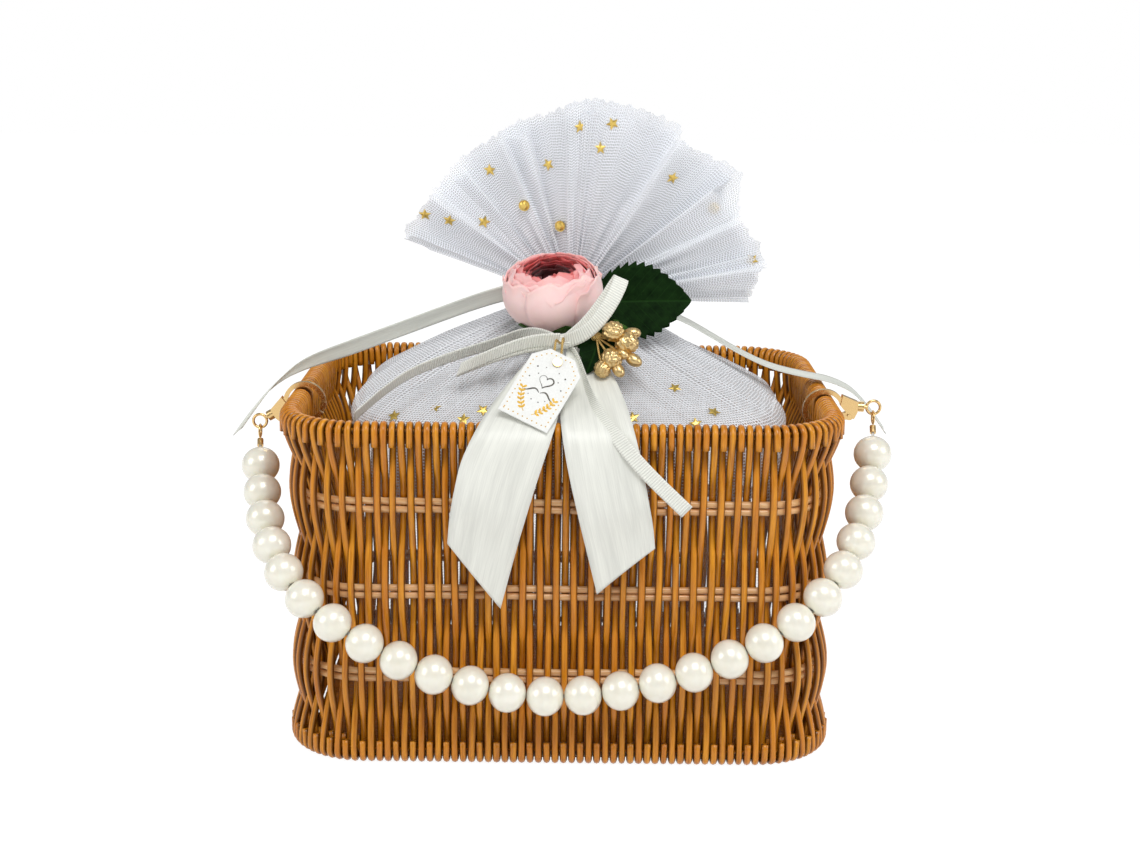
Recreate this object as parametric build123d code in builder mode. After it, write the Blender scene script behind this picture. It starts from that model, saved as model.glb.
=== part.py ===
"""Flower girl basket: a woven cane basket with a pearl-strand handle on two lobster clasps.

A tulle drawstring pouch stands inside the basket.  Its gathered neck carries a silk flower,
leaves, gilt berries, two ribbon trims and a hang tag.

Frame: millimetres, +Z up, +X to the basket's right as seen from the front, +Y to its back.
The origin is the middle of the underside, on the surface that the basket stands on.
"""

import math
import os

from build123d import *

os.makedirs("parts", exist_ok=True)

# ---------------------------------------------------------------- driving sizes, woven basket
basket_length = 210.0  # over the rim roll, along X
basket_depth = 160.0  # over the rim roll, along Y
basket_height = 131.0  # resting surface to the top of the rim roll
corner_radius = 32.0  # outside corner of the rim roll
cane = 2.6  # one strand of cane
hoop_wire = 2.6  # core wires and weavers
weave_gap = 0.15  # between a cane and the strand that it bends round
cane_pitch = 3.1  # along the wall, from one cane to the next
tuck_length = 5.0  # end of a cane, folded back under the roll
upper_row_drop = 0.2443 * basket_height  # from the rim's top to the middle of each weaver pair
middle_row_drop = 0.4962 * basket_height
lower_row_drop = 0.7405 * basket_height
weaver_spacing = 2.9  # between the two weavers of a pair
upper_waist = 3.0  # how far each row stands inside the rim's line
middle_waist = 3.6
lower_waist = 2.6
foot_waist = 1.6
bend_radius = 0.26 * basket_height  # of a cane as it passes a row
shoulder_drop = 6.0  # straight part of a cane below the roll
shoulder_radius = 8.0
mat_thickness = 3.0
mat_gap = 0.3  # between the woven base and the canes around it

# ---------------------------------------------------------------- driving sizes, clasps
clasp_place = -22.0  # Y near which both clasps hook round the side rims, in place of one cane
left_droop = 30.0  # degrees that each clasp's axis falls below level
right_droop = 3.0
clasp_seat = 0.3  # from the rim roll to the hook
hook_clearance = 2.2  # room that the hook leaves round the roll, below it
hook_wall = 1.7
hook_thickness = 2.4  # across the hook, along the rim
body_thickness = 3.8
lever_gap = 0.35
lever_opening = 18.0  # degrees
pin_diameter = 1.6
eye_radius = 2.6  # middle of the eye's wire
eye_wire = 1.1
eye_reach = 19.0  # from the rim's core to the eye's centre
barrel_diameter = 4.0
ring_radius = 2.4
ring_wire = 0.8
ring_play = 0.15  # from the ring's wire to the eye's
ring_lean = 8.6  # degrees that each ring hangs forward of straight down

# ---------------------------------------------------------------- driving sizes, pearl strand
pearl_diameter = 14.4
pearl_length = 12.9  # along the string, over the flats round the hole
pearl_pitch = 13.75
pearl_bore = 2.2
string_diameter = 1.2
crimp_diameter = 2.4
crimp_length = 3.0
crimp_gap = 0.6  # from the ring to the crimp
bare_end = 12.0  # least length of bare string at each end
pearl_clearance = 1.4  # from the hanging pearls to the front of the basket

# ---------------------------------------------------------------- driving sizes, pouch
tulle = 0.8  # several layers of net, as one wall
pouch_end_room = 21.0  # from the pouch to the outside of the rim, at each end
pouch_side_room = 15.0  # the same, at the front and the back
pouch_length = basket_length - 2 * pouch_end_room
pouch_depth = basket_depth - 2 * pouch_side_room
pouch_corner = 30.0
pouch_shoulder_drop = 5.0  # from the rim's top to where the pouch starts to close
pouch_shoulder = basket_height - pouch_shoulder_drop
pouch_foot_inset = 14.0
neck_rise = 33.0  # from the shoulder to the foot of the neck
neck_x = 3.0
neck_radius = 8.0
neck_low = pouch_shoulder + neck_rise
neck_top = neck_low + 7.0
dome_rises = [0.424 * neck_rise, 0.712 * neck_rise]  # two outlines between the shoulder and the neck
dome_lengths = [0.821 * pouch_length, 0.548 * pouch_length]
dome_depths = [0.723 * pouch_depth, 0.415 * pouch_depth]
dome_corners = [pouch_corner, 0.86 * pouch_corner]
drawstring_z = neck_low + 2.0
drawstring_wire = 1.8
ruffle_centre_z = neck_low + 4.0
ruffle_radius = 75.0
ruffle_root = 9.0
ruffle_start = 3.0  # degrees from +X, seen from the front
ruffle_sweep = 154.0
ruffle_lean = 7.0  # degrees that each layer leans out
ruffle_parting = 2.0  # from the middle of the neck to each layer's root

# ---------------------------------------------------------------- driving sizes, trims
trim = 0.5  # thickness of every ribbon
bow_width = 6.0
pull_width = 9.0
rest_gap = 0.3  # between a trim and what it lies on
trim_slope = 29.0  # degrees below level, of the trims between the bow and the rim
bow_x = 2.6
bow_inset = 35.0  # from the front of the basket to the bow
bow_rise = 20.7  # from the rim's top to the bow
bow_y = bow_inset - basket_depth / 2
bow_z = basket_height + bow_rise
knot_size = 7.0
tag_width = 20.0
tag_height = 30.0
tag_thickness = 0.6
tag_clip = 5.0  # each clipped top corner
tag_lean = 28.0  # degrees, seen from the front
tag_slope = 52.0  # degrees above level
brad_inset = 4.0  # from the tag's top to its brad
brad_radius = 1.7
brad_shank = 0.9
star_radius = 2.6
sequin = 0.3  # thickness of a star
stone_radius = 2.2
stone_height = 1.6
petal = 0.9
petal_root = 3.4  # from the flower's axis to the root of each petal
flower_radius = 18.0
flower_x = -4.3
flower_y = -neck_radius - 20.0
flower_z = neck_low + 9.5
flower_tip = 52.0  # degrees that the flower faces above level
leaf_thickness = 0.8
wire = 1.2  # wrapped florist's wire
berry_wire = 0.4
berry_lift = 4.0  # from the satin to the middle of each berry

# ---------------------------------------------------------------- worked out from the above
strand_reach = hoop_wire / 2 + weave_gap + cane / 2  # core to the middle of a cane
rim_reach = hoop_wire / 2 + weave_gap + cane  # core to the outside of the roll
rim_z = basket_height - rim_reach
foot_z = rim_reach
row_heights = [basket_height - drop for drop in (upper_row_drop, middle_row_drop, lower_row_drop)]
row_waists = [upper_waist, middle_waist, lower_waist]
core_x = basket_length / 2 - rim_reach
front_face = -basket_depth / 2


def save(part, name):
    """Label one finished piece, or group of like pieces, and write its STEP file."""
    part.label = name
    export_step(part, f"parts/{name}.step")


def hoop_outline(inset, height):
    """The line of a hoop that runs round the wall, inset from the rim's core."""
    margin = 2 * (rim_reach + inset)
    with BuildSketch(Plane.XY.offset(height)) as outline:
        RectangleRounded(basket_length - margin, basket_depth - margin, corner_radius - rim_reach - inset)
    return outline.sketch.faces()[0].outer_wire()


def hoop(inset, height):
    """A round strand bent along the wall and closed on itself."""
    route = hoop_outline(inset, height)
    with BuildPart() as strand:
        with BuildSketch(Plane(origin=route @ 0, z_dir=route % 0)):
            Circle(hoop_wire / 2)
        sweep(path=route)
    return strand.part


# ================================================================ woven basket
save(hoop(0, rim_z), "rim_core_wire")
save(hoop(foot_waist, foot_z), "base_core_wire")

for name, height, waist in zip(("upper_weavers", "middle_weavers", "lower_weavers"), row_heights, row_waists):
    pair = [hoop(waist, height + step * weaver_spacing / 2) for step in (1, -1)]
    save(Compound(children=pair), name)


def cane_route(side):
    """Points of one cane's way down the wall: side is 1 where it starts outside the rim.

    The corner at a row lies past the cane by the height of its bend, which settles in a few rounds.
    """
    row_sides = [-side, side, -side]
    overshoots = [0.0] * len(row_heights)
    for _ in range(5):
        points = [(side * strand_reach, rim_z), (side * strand_reach, rim_z - shoulder_drop)]
        for row_side, height, waist, past in zip(row_sides, row_heights, row_waists, overshoots):
            points.append((row_side * (strand_reach + past) - waist, height))
        points.append((side * strand_reach - foot_waist, foot_z + shoulder_drop))
        points.append((side * strand_reach - foot_waist, foot_z))
        for row in range(len(row_heights)):
            above, here, below = (Vector(*point) for point in points[row + 1 : row + 4])
            turn = math.radians((here - above).get_angle(below - here))
            overshoots[row] = bend_radius * (1 / math.cos(turn / 2) - 1)
    return points


def cane_strand(side):
    """One cane: tucked under the rim, over it, in and out of three rows, and under the foot."""
    points = cane_route(side)
    tuck_top = (-side * strand_reach, rim_z)
    tuck_foot = (-side * strand_reach - foot_waist, foot_z)
    bends = [shoulder_radius] + [bend_radius] * len(row_heights) + [shoulder_radius]
    with BuildPart() as strand:
        with BuildLine(Plane.XZ) as route:
            Line((tuck_top[0], rim_z - tuck_length), tuck_top)
            ThreePointArc(tuck_top, (0, rim_z + strand_reach), points[0])
            FilletPolyline(*points, radius=bends)
            ThreePointArc(points[-1], (-foot_waist, foot_z - strand_reach), tuck_foot)
            Line(tuck_foot, (tuck_foot[0], foot_z + tuck_length))
        with BuildSketch(Plane(origin=route.line @ 0, z_dir=route.line % 0)):
            Circle(cane / 2)
        sweep(path=route.line)
    return strand.part


rim_line = hoop_outline(0, 0)
cane_pairs = round(rim_line.length / (2 * cane_pitch))
cane_step = rim_line.length / (2 * cane_pairs)


def wall_place(index):
    """Where a cane stands: its own plane's +X points out of the wall."""
    distance = index * cane_step
    spot = rim_line.position_at(distance, position_mode=PositionMode.LENGTH)
    along = rim_line.tangent_at(distance, position_mode=PositionMode.LENGTH)
    outward = Vector(along.Y, -along.X, 0)
    if outward.dot(spot) < 0:
        outward = -outward
    return spot, math.degrees(math.atan2(outward.Y, outward.X))


def clasp_index(side):
    """The cane whose place a clasp takes, on the side wall at -X or +X."""
    wanted = Vector(side * core_x, clasp_place, rim_z)
    return min(range(2 * cane_pairs), key=lambda index: (wall_place(index)[0] - wanted).length)


left_index = clasp_index(-1)
right_index = clasp_index(1)
left_clasp_y = wall_place(left_index)[0].Y
right_clasp_y = wall_place(right_index)[0].Y


def cane_group(side, first):
    """Every second cane of the wall, less the ones that a clasp takes the place of."""
    strand = cane_strand(side)
    copies = []
    for index in range(first, 2 * cane_pairs, 2):
        if index in (left_index, right_index):
            continue
        spot, turn = wall_place(index)
        copies.append(strand.moved(Location((spot.X, spot.Y, 0), (0, 0, turn))))
    return copies


long_canes = cane_group(1, 0)
short_loop_canes = cane_group(-1, 1)
save(Compound(children=long_canes), "long_canes")
save(Compound(children=short_loop_canes), "short_loop_canes")
print("canes", len(long_canes), len(short_loop_canes), "pitch", round(cane_step, 3))

mat_inset = foot_waist + 2 * rim_reach + mat_gap
with BuildPart() as base_mat:
    with BuildSketch(Plane.XY):
        RectangleRounded(basket_length - 2 * mat_inset, basket_depth - 2 * mat_inset, corner_radius - mat_inset)
    extrude(amount=mat_thickness)
save(base_mat.part, "base_mat")

# ================================================================ lobster clasps
hook_inner = rim_reach + clasp_seat + hook_clearance
hook_outer = hook_inner + hook_wall
hook_middle = (hook_inner + hook_outer) / 2
hook_drop = hook_clearance  # the hook hangs on the roll, so its centre lies this far below it
pivot = (hook_outer + 1.6, -hook_drop - 1.4)
barrel_start = eye_reach - eye_radius - 3.6
body_half = 3.2
claw_tip_angle = 236.0
lever_tip_angle = 240.0
body_angle = 38.0


def clasp_plane(side, droop, along):
    """The plane of a clasp: +X runs from the rim's core out to the eye, +Y is up."""
    tilt = math.radians(droop)
    out = Vector(side * math.cos(tilt), 0, -math.sin(tilt))
    return Plane(origin=(side * core_x, along, rim_z), x_dir=out, z_dir=(0, -side, 0))


def band(start, end):
    """A stretch of the hook's ring as a closed outline."""
    with BuildSketch(mode=Mode.PRIVATE) as ring:
        with Locations((0, -hook_drop)):
            Circle(hook_outer)
            Circle(hook_inner, mode=Mode.SUBTRACT)
        with BuildLine():
            reach = 3 * hook_outer
            corners = [(0, -hook_drop)]
            for angle in (start, (2 * start + end) / 3, (start + 2 * end) / 3, end):
                turn = math.radians(angle)
                corners.append((reach * math.cos(turn), reach * math.sin(turn) - hook_drop))
            Polyline(*corners, close=True)
        make_face(mode=Mode.INTERSECT)
    return ring.sketch


def clasp(side, droop, along, name):
    """Body with its claw, lever, lever pin and swivel eye of one clasp."""
    plane = clasp_plane(side, droop, along)
    with BuildPart() as body:
        with BuildSketch(plane):
            add(band(body_angle - 18, claw_tip_angle))
        extrude(amount=hook_thickness / 2, both=True)
        with BuildSketch(plane):
            with BuildLine():
                Polyline(
                    (hook_inner * 0.92, 2.4 - hook_drop),
                    (hook_outer * 0.8, body_half + 1.0),
                    (barrel_start, barrel_diameter / 2),
                    (barrel_start, -barrel_diameter / 2),
                    (hook_outer + 3.4, -hook_drop - 2.6),
                    (hook_outer + 0.2, -hook_drop - 0.2),
                    close=True,
                )
            make_face()
        extrude(amount=body_thickness / 2, both=True)
        with BuildSketch(Plane(origin=plane.from_local_coords((barrel_start, 0)), z_dir=plane.x_dir)):
            Circle(barrel_diameter / 2)
        extrude(amount=2.4)
        with BuildSketch(plane):  # slot for the lever's root
            with Locations(pivot):
                Circle(2.3 + lever_gap)
            with Locations((pivot[0] - 3.2, pivot[1] - 1.2)):
                Rectangle(5.0, 4.6)
        extrude(amount=hook_thickness / 2 + lever_gap, both=True, mode=Mode.SUBTRACT)
        with BuildSketch(plane):
            with Locations(pivot):
                Circle(pin_diameter / 2 + 0.02)
        extrude(amount=body_thickness, both=True, mode=Mode.SUBTRACT)
    save(body.part, f"{name}_clasp_body")

    with BuildPart() as lever:
        with BuildSketch(plane):
            add(band(lever_tip_angle, 345))
            with Locations(pivot):
                Circle(1.8)
            with BuildLine():
                Polyline(
                    (hook_inner * 0.90, -hook_drop - hook_inner * 0.46),
                    (pivot[0] + 0.6, pivot[1] - 1.7),
                    (pivot[0] - 0.4, pivot[1] + 1.7),
                    (hook_inner + 0.15, -hook_drop - 0.9),
                    close=True,
                )
            make_face()
            with Locations(pivot):
                Circle(pin_diameter / 2 + 0.05, mode=Mode.SUBTRACT)
        extrude(amount=hook_thickness / 2, both=True)
    save(lever.part, f"{name}_clasp_lever")

    with BuildPart() as pin:
        with BuildSketch(plane):
            with Locations(pivot):
                Circle(pin_diameter / 2)
        extrude(amount=body_thickness / 2 + 0.3, both=True)
    save(pin.part, f"{name}_lever_pin")

    with BuildPart() as eye:
        with BuildSketch(Plane(origin=plane.from_local_coords((eye_reach, 0)), x_dir=plane.x_dir, z_dir=plane.y_dir)):
            with Locations((eye_radius, 0)):
                Circle(eye_wire / 2)
        revolve(axis=Axis(plane.from_local_coords((eye_reach, 0)), plane.z_dir))
        stem_start = barrel_start + 2.4
        with BuildSketch(Plane(origin=plane.from_local_coords((stem_start, 0)), z_dir=plane.x_dir)):
            Circle(0.8)
        extrude(amount=eye_reach - eye_radius - stem_start)
    save(eye.part, f"{name}_swivel_eye")
    print(name, "eye at", [round(v, 3) for v in plane.from_local_coords((eye_reach, 0))])
    print(name, "lever pivot at", [round(v, 3) for v in plane.from_local_coords(pivot)])
    return plane


left_plane = clasp(-1, left_droop, left_clasp_y, "left")
right_plane = clasp(1, right_droop, right_clasp_y, "right")

# ================================================================ pearl strand
left_eye = left_plane.from_local_coords((eye_reach, 0))
right_eye = right_plane.from_local_coords((eye_reach, 0))

left_bearing = left_eye - Vector(0, 0, eye_radius)  # the low side of each eye's wire
right_bearing = right_eye - Vector(0, 0, eye_radius)
ring_hang = 2 * ring_radius - eye_wire / 2 - ring_play + crimp_gap  # from a bearing to the string's end
ring_drop = Vector(0, -math.sin(math.radians(ring_lean)), -math.cos(math.radians(ring_lean)))
fall_y = front_face - pearl_diameter / 2 - pearl_clearance

strand_course = [  # shares: from left to right, from the clasps to the front, of the rim's height
    (0.0047, 0.105, 0.8137),
    (0.0186, 0.345, 0.7326),
    (0.0363, 0.586, 0.6538),
    (0.0754, 0.848, 0.5632),
    (0.1492, 1.0, 0.4608),
    (0.2503, 1.003, 0.3505),
    (0.3620, 1.0, 0.2757),
    (0.4800, 1.0, 0.2442),
    (0.6042, 1.003, 0.2718),
    (0.7264, 1.0, 0.3427),
    (0.8402, 0.988, 0.4490),
    (0.9224, 0.826, 0.5750),
    (0.9658, 0.548, 0.6892),
    (0.9868, 0.285, 0.7995),
    (0.9986, 0.120, 0.8822),
]


def strand_point(along, forward, height):
    """A corner of the string's course, from its shares."""
    across = left_bearing.X + along * (right_bearing.X - left_bearing.X)
    return (across, clasp_place + forward * (fall_y - clasp_place), height * rim_z)


strand_points = [tuple(left_bearing + ring_drop * ring_hang)]
strand_points += [strand_point(*shares) for shares in strand_course]
strand_points.append(tuple(right_bearing + ring_drop * ring_hang))


def tube_radii(points):
    """Bend radius at each corner: 0.45 of the shorter run over the tangent of half the turn."""
    radii = []
    for before, here, after in zip(points, points[1:], points[2:]):
        first = Vector(*here) - Vector(*before)
        second = Vector(*after) - Vector(*here)
        turn = math.radians(first.get_angle(second))
        radii.append(0.45 * min(first.length, second.length) / math.tan(turn / 2))
    return radii


strand_radii = tube_radii(strand_points)
print("strand radii", [round(radius) for radius in strand_radii])

with BuildPart() as handle_string:
    with BuildLine() as strand_line:
        FilletPolyline(*strand_points, radius=strand_radii)
    strand_wire = strand_line.wires()[0]
    with BuildSketch(Plane(origin=strand_wire @ 0, z_dir=strand_wire % 0)):
        Circle(string_diameter / 2)
    sweep(path=strand_wire)
save(handle_string.part, "handle_string")
string_volume = math.pi * (string_diameter / 2) ** 2 * strand_wire.length
print("string length", round(strand_wire.length, 2), "volume share", round(handle_string.part.volume / string_volume, 4))

with BuildPart() as pearl:
    Sphere(pearl_diameter / 2)
    Cylinder(pearl_diameter, pearl_length, mode=Mode.INTERSECT)
    Cylinder(pearl_bore / 2, pearl_diameter, mode=Mode.SUBTRACT)

pearl_count = int((strand_wire.length - 2 * bare_end) / pearl_pitch) + 1
first_pearl = (strand_wire.length - (pearl_count - 1) * pearl_pitch) / 2
pearls = []
for number in range(pearl_count):
    distance = first_pearl + number * pearl_pitch
    spot = strand_wire.position_at(distance, position_mode=PositionMode.LENGTH)
    along = strand_wire.tangent_at(distance, position_mode=PositionMode.LENGTH)
    pearls.append(pearl.part.moved(Plane(origin=spot, z_dir=along).location))
save(Compound(children=pearls), "pearls")


def end_fitting(bearing, spot, along):
    """The ring that hangs in a clasp's eye, and the crimp that closes the string on it."""
    centre = bearing + ring_drop * (ring_radius - ring_wire / 2 - eye_wire / 2 - ring_play)
    with BuildPart() as ring:
        with BuildSketch(Plane(origin=centre, x_dir=ring_drop, z_dir=ring_drop.cross(Vector(1, 0, 0)))):
            with Locations((ring_radius, 0)):
                Circle(ring_wire / 2)
        revolve(axis=Axis(centre, (1, 0, 0)))
    with BuildPart() as crimp:
        with BuildSketch(Plane(origin=spot, z_dir=along)):
            Circle(crimp_diameter / 2)
        extrude(amount=crimp_length)
        with BuildSketch(Plane(origin=spot, z_dir=along)):
            Circle(string_diameter / 2)
        extrude(amount=crimp_length, mode=Mode.SUBTRACT)
    print("ring bears at", [round(v, 3) for v in bearing])
    return ring.part, crimp.part


left_ring, left_crimp = end_fitting(left_bearing, strand_wire @ 0, strand_wire % 0)
right_ring, right_crimp = end_fitting(right_bearing, strand_wire @ 1, (strand_wire % 1) * -1)
save(left_ring, "left_end_ring")
save(right_ring, "right_end_ring")
save(Compound(children=[left_crimp, right_crimp]), "string_crimps")


# ================================================================ drawstring pouch
pouch_floor = mat_thickness + rest_gap


def pouch_stack(inset):
    """Outlines of the pouch from its foot to its neck: length, depth, corner, height."""
    lift = inset
    foot_length = pouch_length - 2 * pouch_foot_inset
    foot_depth = pouch_depth - 2 * pouch_foot_inset
    neck = 2 * neck_radius
    dome_heights = [pouch_shoulder + rise for rise in dome_rises]
    dome = list(zip(dome_lengths, dome_depths, dome_corners, dome_heights))
    rows = [
        (foot_length, foot_depth, pouch_corner, pouch_floor + lift),
        (pouch_length, pouch_depth, pouch_corner, pouch_floor + pouch_foot_inset),
        (pouch_length, pouch_depth, pouch_corner, pouch_shoulder),
        *dome,
        (neck, neck, neck_radius - 0.1, neck_low),
        (neck, neck, neck_radius - 0.1, neck_top + lift),
    ]
    return [(row[0] - 2 * inset, row[1] - 2 * inset, row[2] - inset, row[3]) for row in rows]


with BuildPart() as pouch_bag:
    for inset, mode in ((0, Mode.ADD), (tulle, Mode.SUBTRACT)):
        for length, depth, corner, height in pouch_stack(inset):
            with BuildSketch(Plane((neck_x, 0, height))):
                RectangleRounded(length, depth, corner)
        loft(ruled=True, mode=mode)
for name, front in (("pouch_front_panel", True), ("pouch_back_panel", False)):
    save(split(pouch_bag.part, bisect_by=Plane.XZ, keep=Keep.TOP if front else Keep.BOTTOM), name)

with BuildPart() as drawstring:
    string_middle = neck_radius + rest_gap + drawstring_wire / 2
    with BuildSketch(Plane((neck_x, 0, drawstring_z), x_dir=(1, 0, 0), z_dir=(0, -1, 0))):
        with Locations((string_middle, 0)):
            Circle(drawstring_wire / 2)
    revolve(axis=Axis((neck_x, 0, 0), (0, 0, 1)))
save(drawstring.part, "drawstring")

ruffle_centre = Vector(neck_x, 0, ruffle_centre_z)


def ruffle_layer(front):
    """One layer of the ruffle: a thin strip turned about the neck like a fan."""
    start = math.radians(ruffle_start)
    radial = Vector(math.cos(start), 0, math.sin(start))
    rise = (ruffle_radius - ruffle_root) * math.tan(math.radians(ruffle_lean))
    with BuildPart() as layer:
        with BuildSketch(Plane(origin=ruffle_centre, x_dir=radial, z_dir=(radial.Z, 0, -radial.X))):
            with BuildLine():
                Polyline(
                    (ruffle_root, front * ruffle_parting),
                    (ruffle_radius, front * (ruffle_parting + rise)),
                    (ruffle_radius, front * (ruffle_parting + rise + tulle)),
                    (ruffle_root, front * (ruffle_parting + tulle)),
                    close=True,
                )
            make_face()
        revolve(axis=Axis(ruffle_centre, (0, -1, 0)), revolution_arc=ruffle_sweep)
    return layer.part


save(ruffle_layer(1), "ruffle_front_layer")
save(ruffle_layer(-1), "ruffle_back_layer")


def on_ruffle(radius, angle, gap=rest_gap):
    """A plane that lies on the ruffle's front face, at a radius and an angle seen from the front."""
    turn = math.radians(angle)
    lean = math.radians(ruffle_lean)
    radial = Vector(math.cos(turn), 0, math.sin(turn))
    tangent = Vector(-math.sin(turn), 0, math.cos(turn))
    normal = radial * -math.sin(lean) + Vector(0, -math.cos(lean), 0)
    depth = ruffle_parting + tulle + (radius - ruffle_root) * math.tan(lean)
    return Plane(ruffle_centre + radial * radius + Vector(0, -depth, 0) + normal * gap, x_dir=tangent, z_dir=normal)


dome_slope = math.atan2(dome_rises[0], (pouch_depth - dome_depths[0]) / 2)
dome_normal = Vector(0, -math.sin(dome_slope), math.cos(dome_slope))


def on_pouch(across, rise, gap=rest_gap):
    """A plane that lies on the lower front slope of the dome, at a rise above the shoulder."""
    back = -pouch_depth / 2 + rise / math.tan(dome_slope)
    spot = Vector(neck_x + across, back, pouch_shoulder + rise)
    return Plane(spot + dome_normal * gap, x_dir=(1, 0, 0), z_dir=dome_normal)


def star(plane):
    """A flat five-pointed sequin."""
    points = []
    for corner in range(10):
        reach = star_radius if corner % 2 == 0 else star_radius * 0.45
        points.append((reach * math.cos(math.pi * corner / 5), reach * math.sin(math.pi * corner / 5)))
    with BuildPart() as piece:
        with BuildSketch(plane):
            with BuildLine():
                Polyline(*points, close=True)
            make_face()
        extrude(amount=sequin)
    return piece.part


def stone(plane):
    """A round gilt stud with a chamfered crown."""
    with BuildPart() as piece:
        with BuildSketch(plane):
            Circle(stone_radius)
        extrude(amount=stone_height)
        crown = piece.edges().filter_by(GeomType.CIRCLE).sort_by(Axis(plane.origin, plane.z_dir))[-1]
        chamfer(crown, stone_height * 0.5)
    return piece.part


ruffle_stars = [(0.76, 146), (0.88, 149), (0.613, 138), (0.8, 122), (0.72, 100)]  # share of the radius, angle
ruffle_stars += [(0.907, 88), (0.947, 78), (0.813, 80), (0.827, 52), (0.96, 14)]
ruffle_stones = [(0.56, 116), (0.4, 98), (0.88, 34)]
pouch_stars = [(0.232, 11), (0.315, 4), (0.274, 1), (0.137, 2)]  # share of the length, rise
pouch_stars += [(-0.298, 4.5), (-0.36, 1), (-0.19, 4), (-0.232, 1)]
stars = [star(on_ruffle(share * ruffle_radius, angle)) for share, angle in ruffle_stars]
stars += [star(on_pouch(share * pouch_length, rise)) for share, rise in pouch_stars]
save(Compound(children=stars), "star_sequins")
stones = [stone(on_ruffle(share * ruffle_radius, angle)) for share, angle in ruffle_stones]
save(Compound(children=stones), "rhinestones")

# ================================================================ ribbons
rim_middle_y = front_face + rim_reach


def over_rim(layer, foot):
    """Side view of a trim: down from the bow, over the front rim and straight down to its foot."""
    reach = rim_reach + rest_gap + trim / 2 + layer * (trim + rest_gap)
    slope = math.radians(trim_slope)
    fall_y = rim_middle_y - reach
    turn_z = rim_z + (reach - reach * math.sin(slope)) / math.cos(slope)
    start_y = bow_y - knot_size / 2 - rest_gap
    start_z = rim_z + (reach + (start_y - rim_middle_y) * math.sin(slope)) / math.cos(slope)
    return [(start_y, start_z), (fall_y, turn_z), (fall_y, foot)], reach


def draped(layer, foot, outline):
    """A flat trim that follows over_rim, cut to its outline as seen from the front."""
    route, bend = over_rim(layer, foot)
    with BuildPart() as piece:
        with BuildLine(Plane.YZ) as fall:
            FilletPolyline(*route, radius=bend)
        with BuildSketch(Plane(origin=fall.line @ 0, x_dir=(1, 0, 0), z_dir=fall.line % 0)):
            Rectangle(basket_length, trim)
        sweep(path=fall.line)
        with BuildSketch(Plane.XZ):
            with BuildLine():
                Polyline(*outline, close=True)
            make_face()
        extrude(amount=basket_depth, both=True, mode=Mode.INTERSECT)
    return piece.part


def tall(outline):
    """An outline seen from the front whose heights are shares of the basket's height."""
    return [(across, share * basket_height) for across, share in outline]


left_satin = [(-24.0, 1.22), (1.0, 1.22), (-1.5, 1.015), (-12.5, 0.756), (-21.5, 0.481)]
left_satin += [(-40.5, 0.672), (-37.5, 0.855), (-26.0, 1.023)]
right_satin = [(1.6, 1.22), (24.5, 1.22), (25.5, 1.008), (34.0, 0.664), (13.3, 0.527), (1.6, 1.0)]
save(draped(0, 0.42 * basket_height, tall(left_satin)), "satin_tail_left")
save(draped(0, 0.42 * basket_height, tall(right_satin)), "satin_tail_right")


def strip_outline(start, end, width, cut):
    """The four corners of a straight strip seen from the front, its end cut aslant."""
    along = (Vector(*end) - Vector(*start)).normalized()
    side = Vector(-along.Y, along.X, 0) * (width / 2)
    first = Vector(*start)
    last = Vector(*end)
    corners = [first + side, first - side, last - side - along * cut, last + side]
    return [(corner.X, corner.Y) for corner in corners]


right_tail = tall([(bow_x + 5.4, 1.137), (bow_x + 44.4, 0.664)])
save(draped(1, 0.61 * basket_height, strip_outline(*right_tail, bow_width, 3.0)), "bow_tail_right")

with BuildPart() as bow_tail_left:
    lie = on_pouch(0, 0)
    start = lie.to_local_coords(on_pouch(bow_x - 19.6, 17.5).origin)
    end = lie.to_local_coords(on_pouch(-0.47 * pouch_length, 1.5).origin)
    with BuildSketch(lie):
        with BuildLine():
            Polyline(*strip_outline((start.X, start.Y), (end.X, end.Y), bow_width, 2.0), close=True)
        make_face()
    extrude(amount=trim)
save(bow_tail_left.part, "bow_tail_left")

bow_middle = Vector(bow_x, bow_y, bow_z)
with BuildPart() as bow_knot:
    with BuildSketch(Plane(bow_middle - Vector(0, knot_size / 2, 0), x_dir=(1, 0, 0), z_dir=(0, -1, 0))):
        RectangleRounded(knot_size, bow_width, 2.0)
    extrude(amount=-knot_size)
    fillet(bow_knot.edges().filter_by(Axis.Y, reverse=True), 1.2)
save(bow_knot.part, "bow_knot")


def bow_loop(angle, length, bulge):
    """A loop of ribbon that leaves the knot at an angle seen from the front."""
    turn = math.radians(angle)
    out = Vector(math.cos(turn), 0, math.sin(turn))
    up = Vector(-math.sin(turn), 0, math.cos(turn))
    root = bow_middle + out * (knot_size / 2 + rest_gap + 0.4)
    with BuildPart() as loop:
        with BuildSketch(Plane(root - up * (bow_width / 2), x_dir=out, z_dir=up)):
            with Locations((length / 2, 0)):
                Ellipse(length / 2, bulge)
                Ellipse(length / 2 - trim, bulge - trim, mode=Mode.SUBTRACT)
        extrude(amount=bow_width)
    return loop.part


save(bow_loop(190.0, 34.0, 2.4), "bow_loop_left")
save(bow_loop(48.0, 20.0, 2.4), "bow_loop_right")

left_pull = [(-0.0362, 1.236), (-0.4095, 1.054), (-0.781, 0.536), (-0.976, 0.236), (-1.105, -0.09), (-1.2286, -0.75)]
right_pull = [(0.1295, 1.096), (0.438, 0.911), (0.6667, 0.411), (0.9048, 0.1), (1.024, 0.021), (1.152, -0.25), (1.233, -0.75)]


def pull_points(shares):
    """Points of a drawstring end: shares of half the length, and of the rise from rim to neck."""
    return [(across * basket_length / 2, basket_height + rise * (neck_low - basket_height)) for across, rise in shares]


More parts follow.
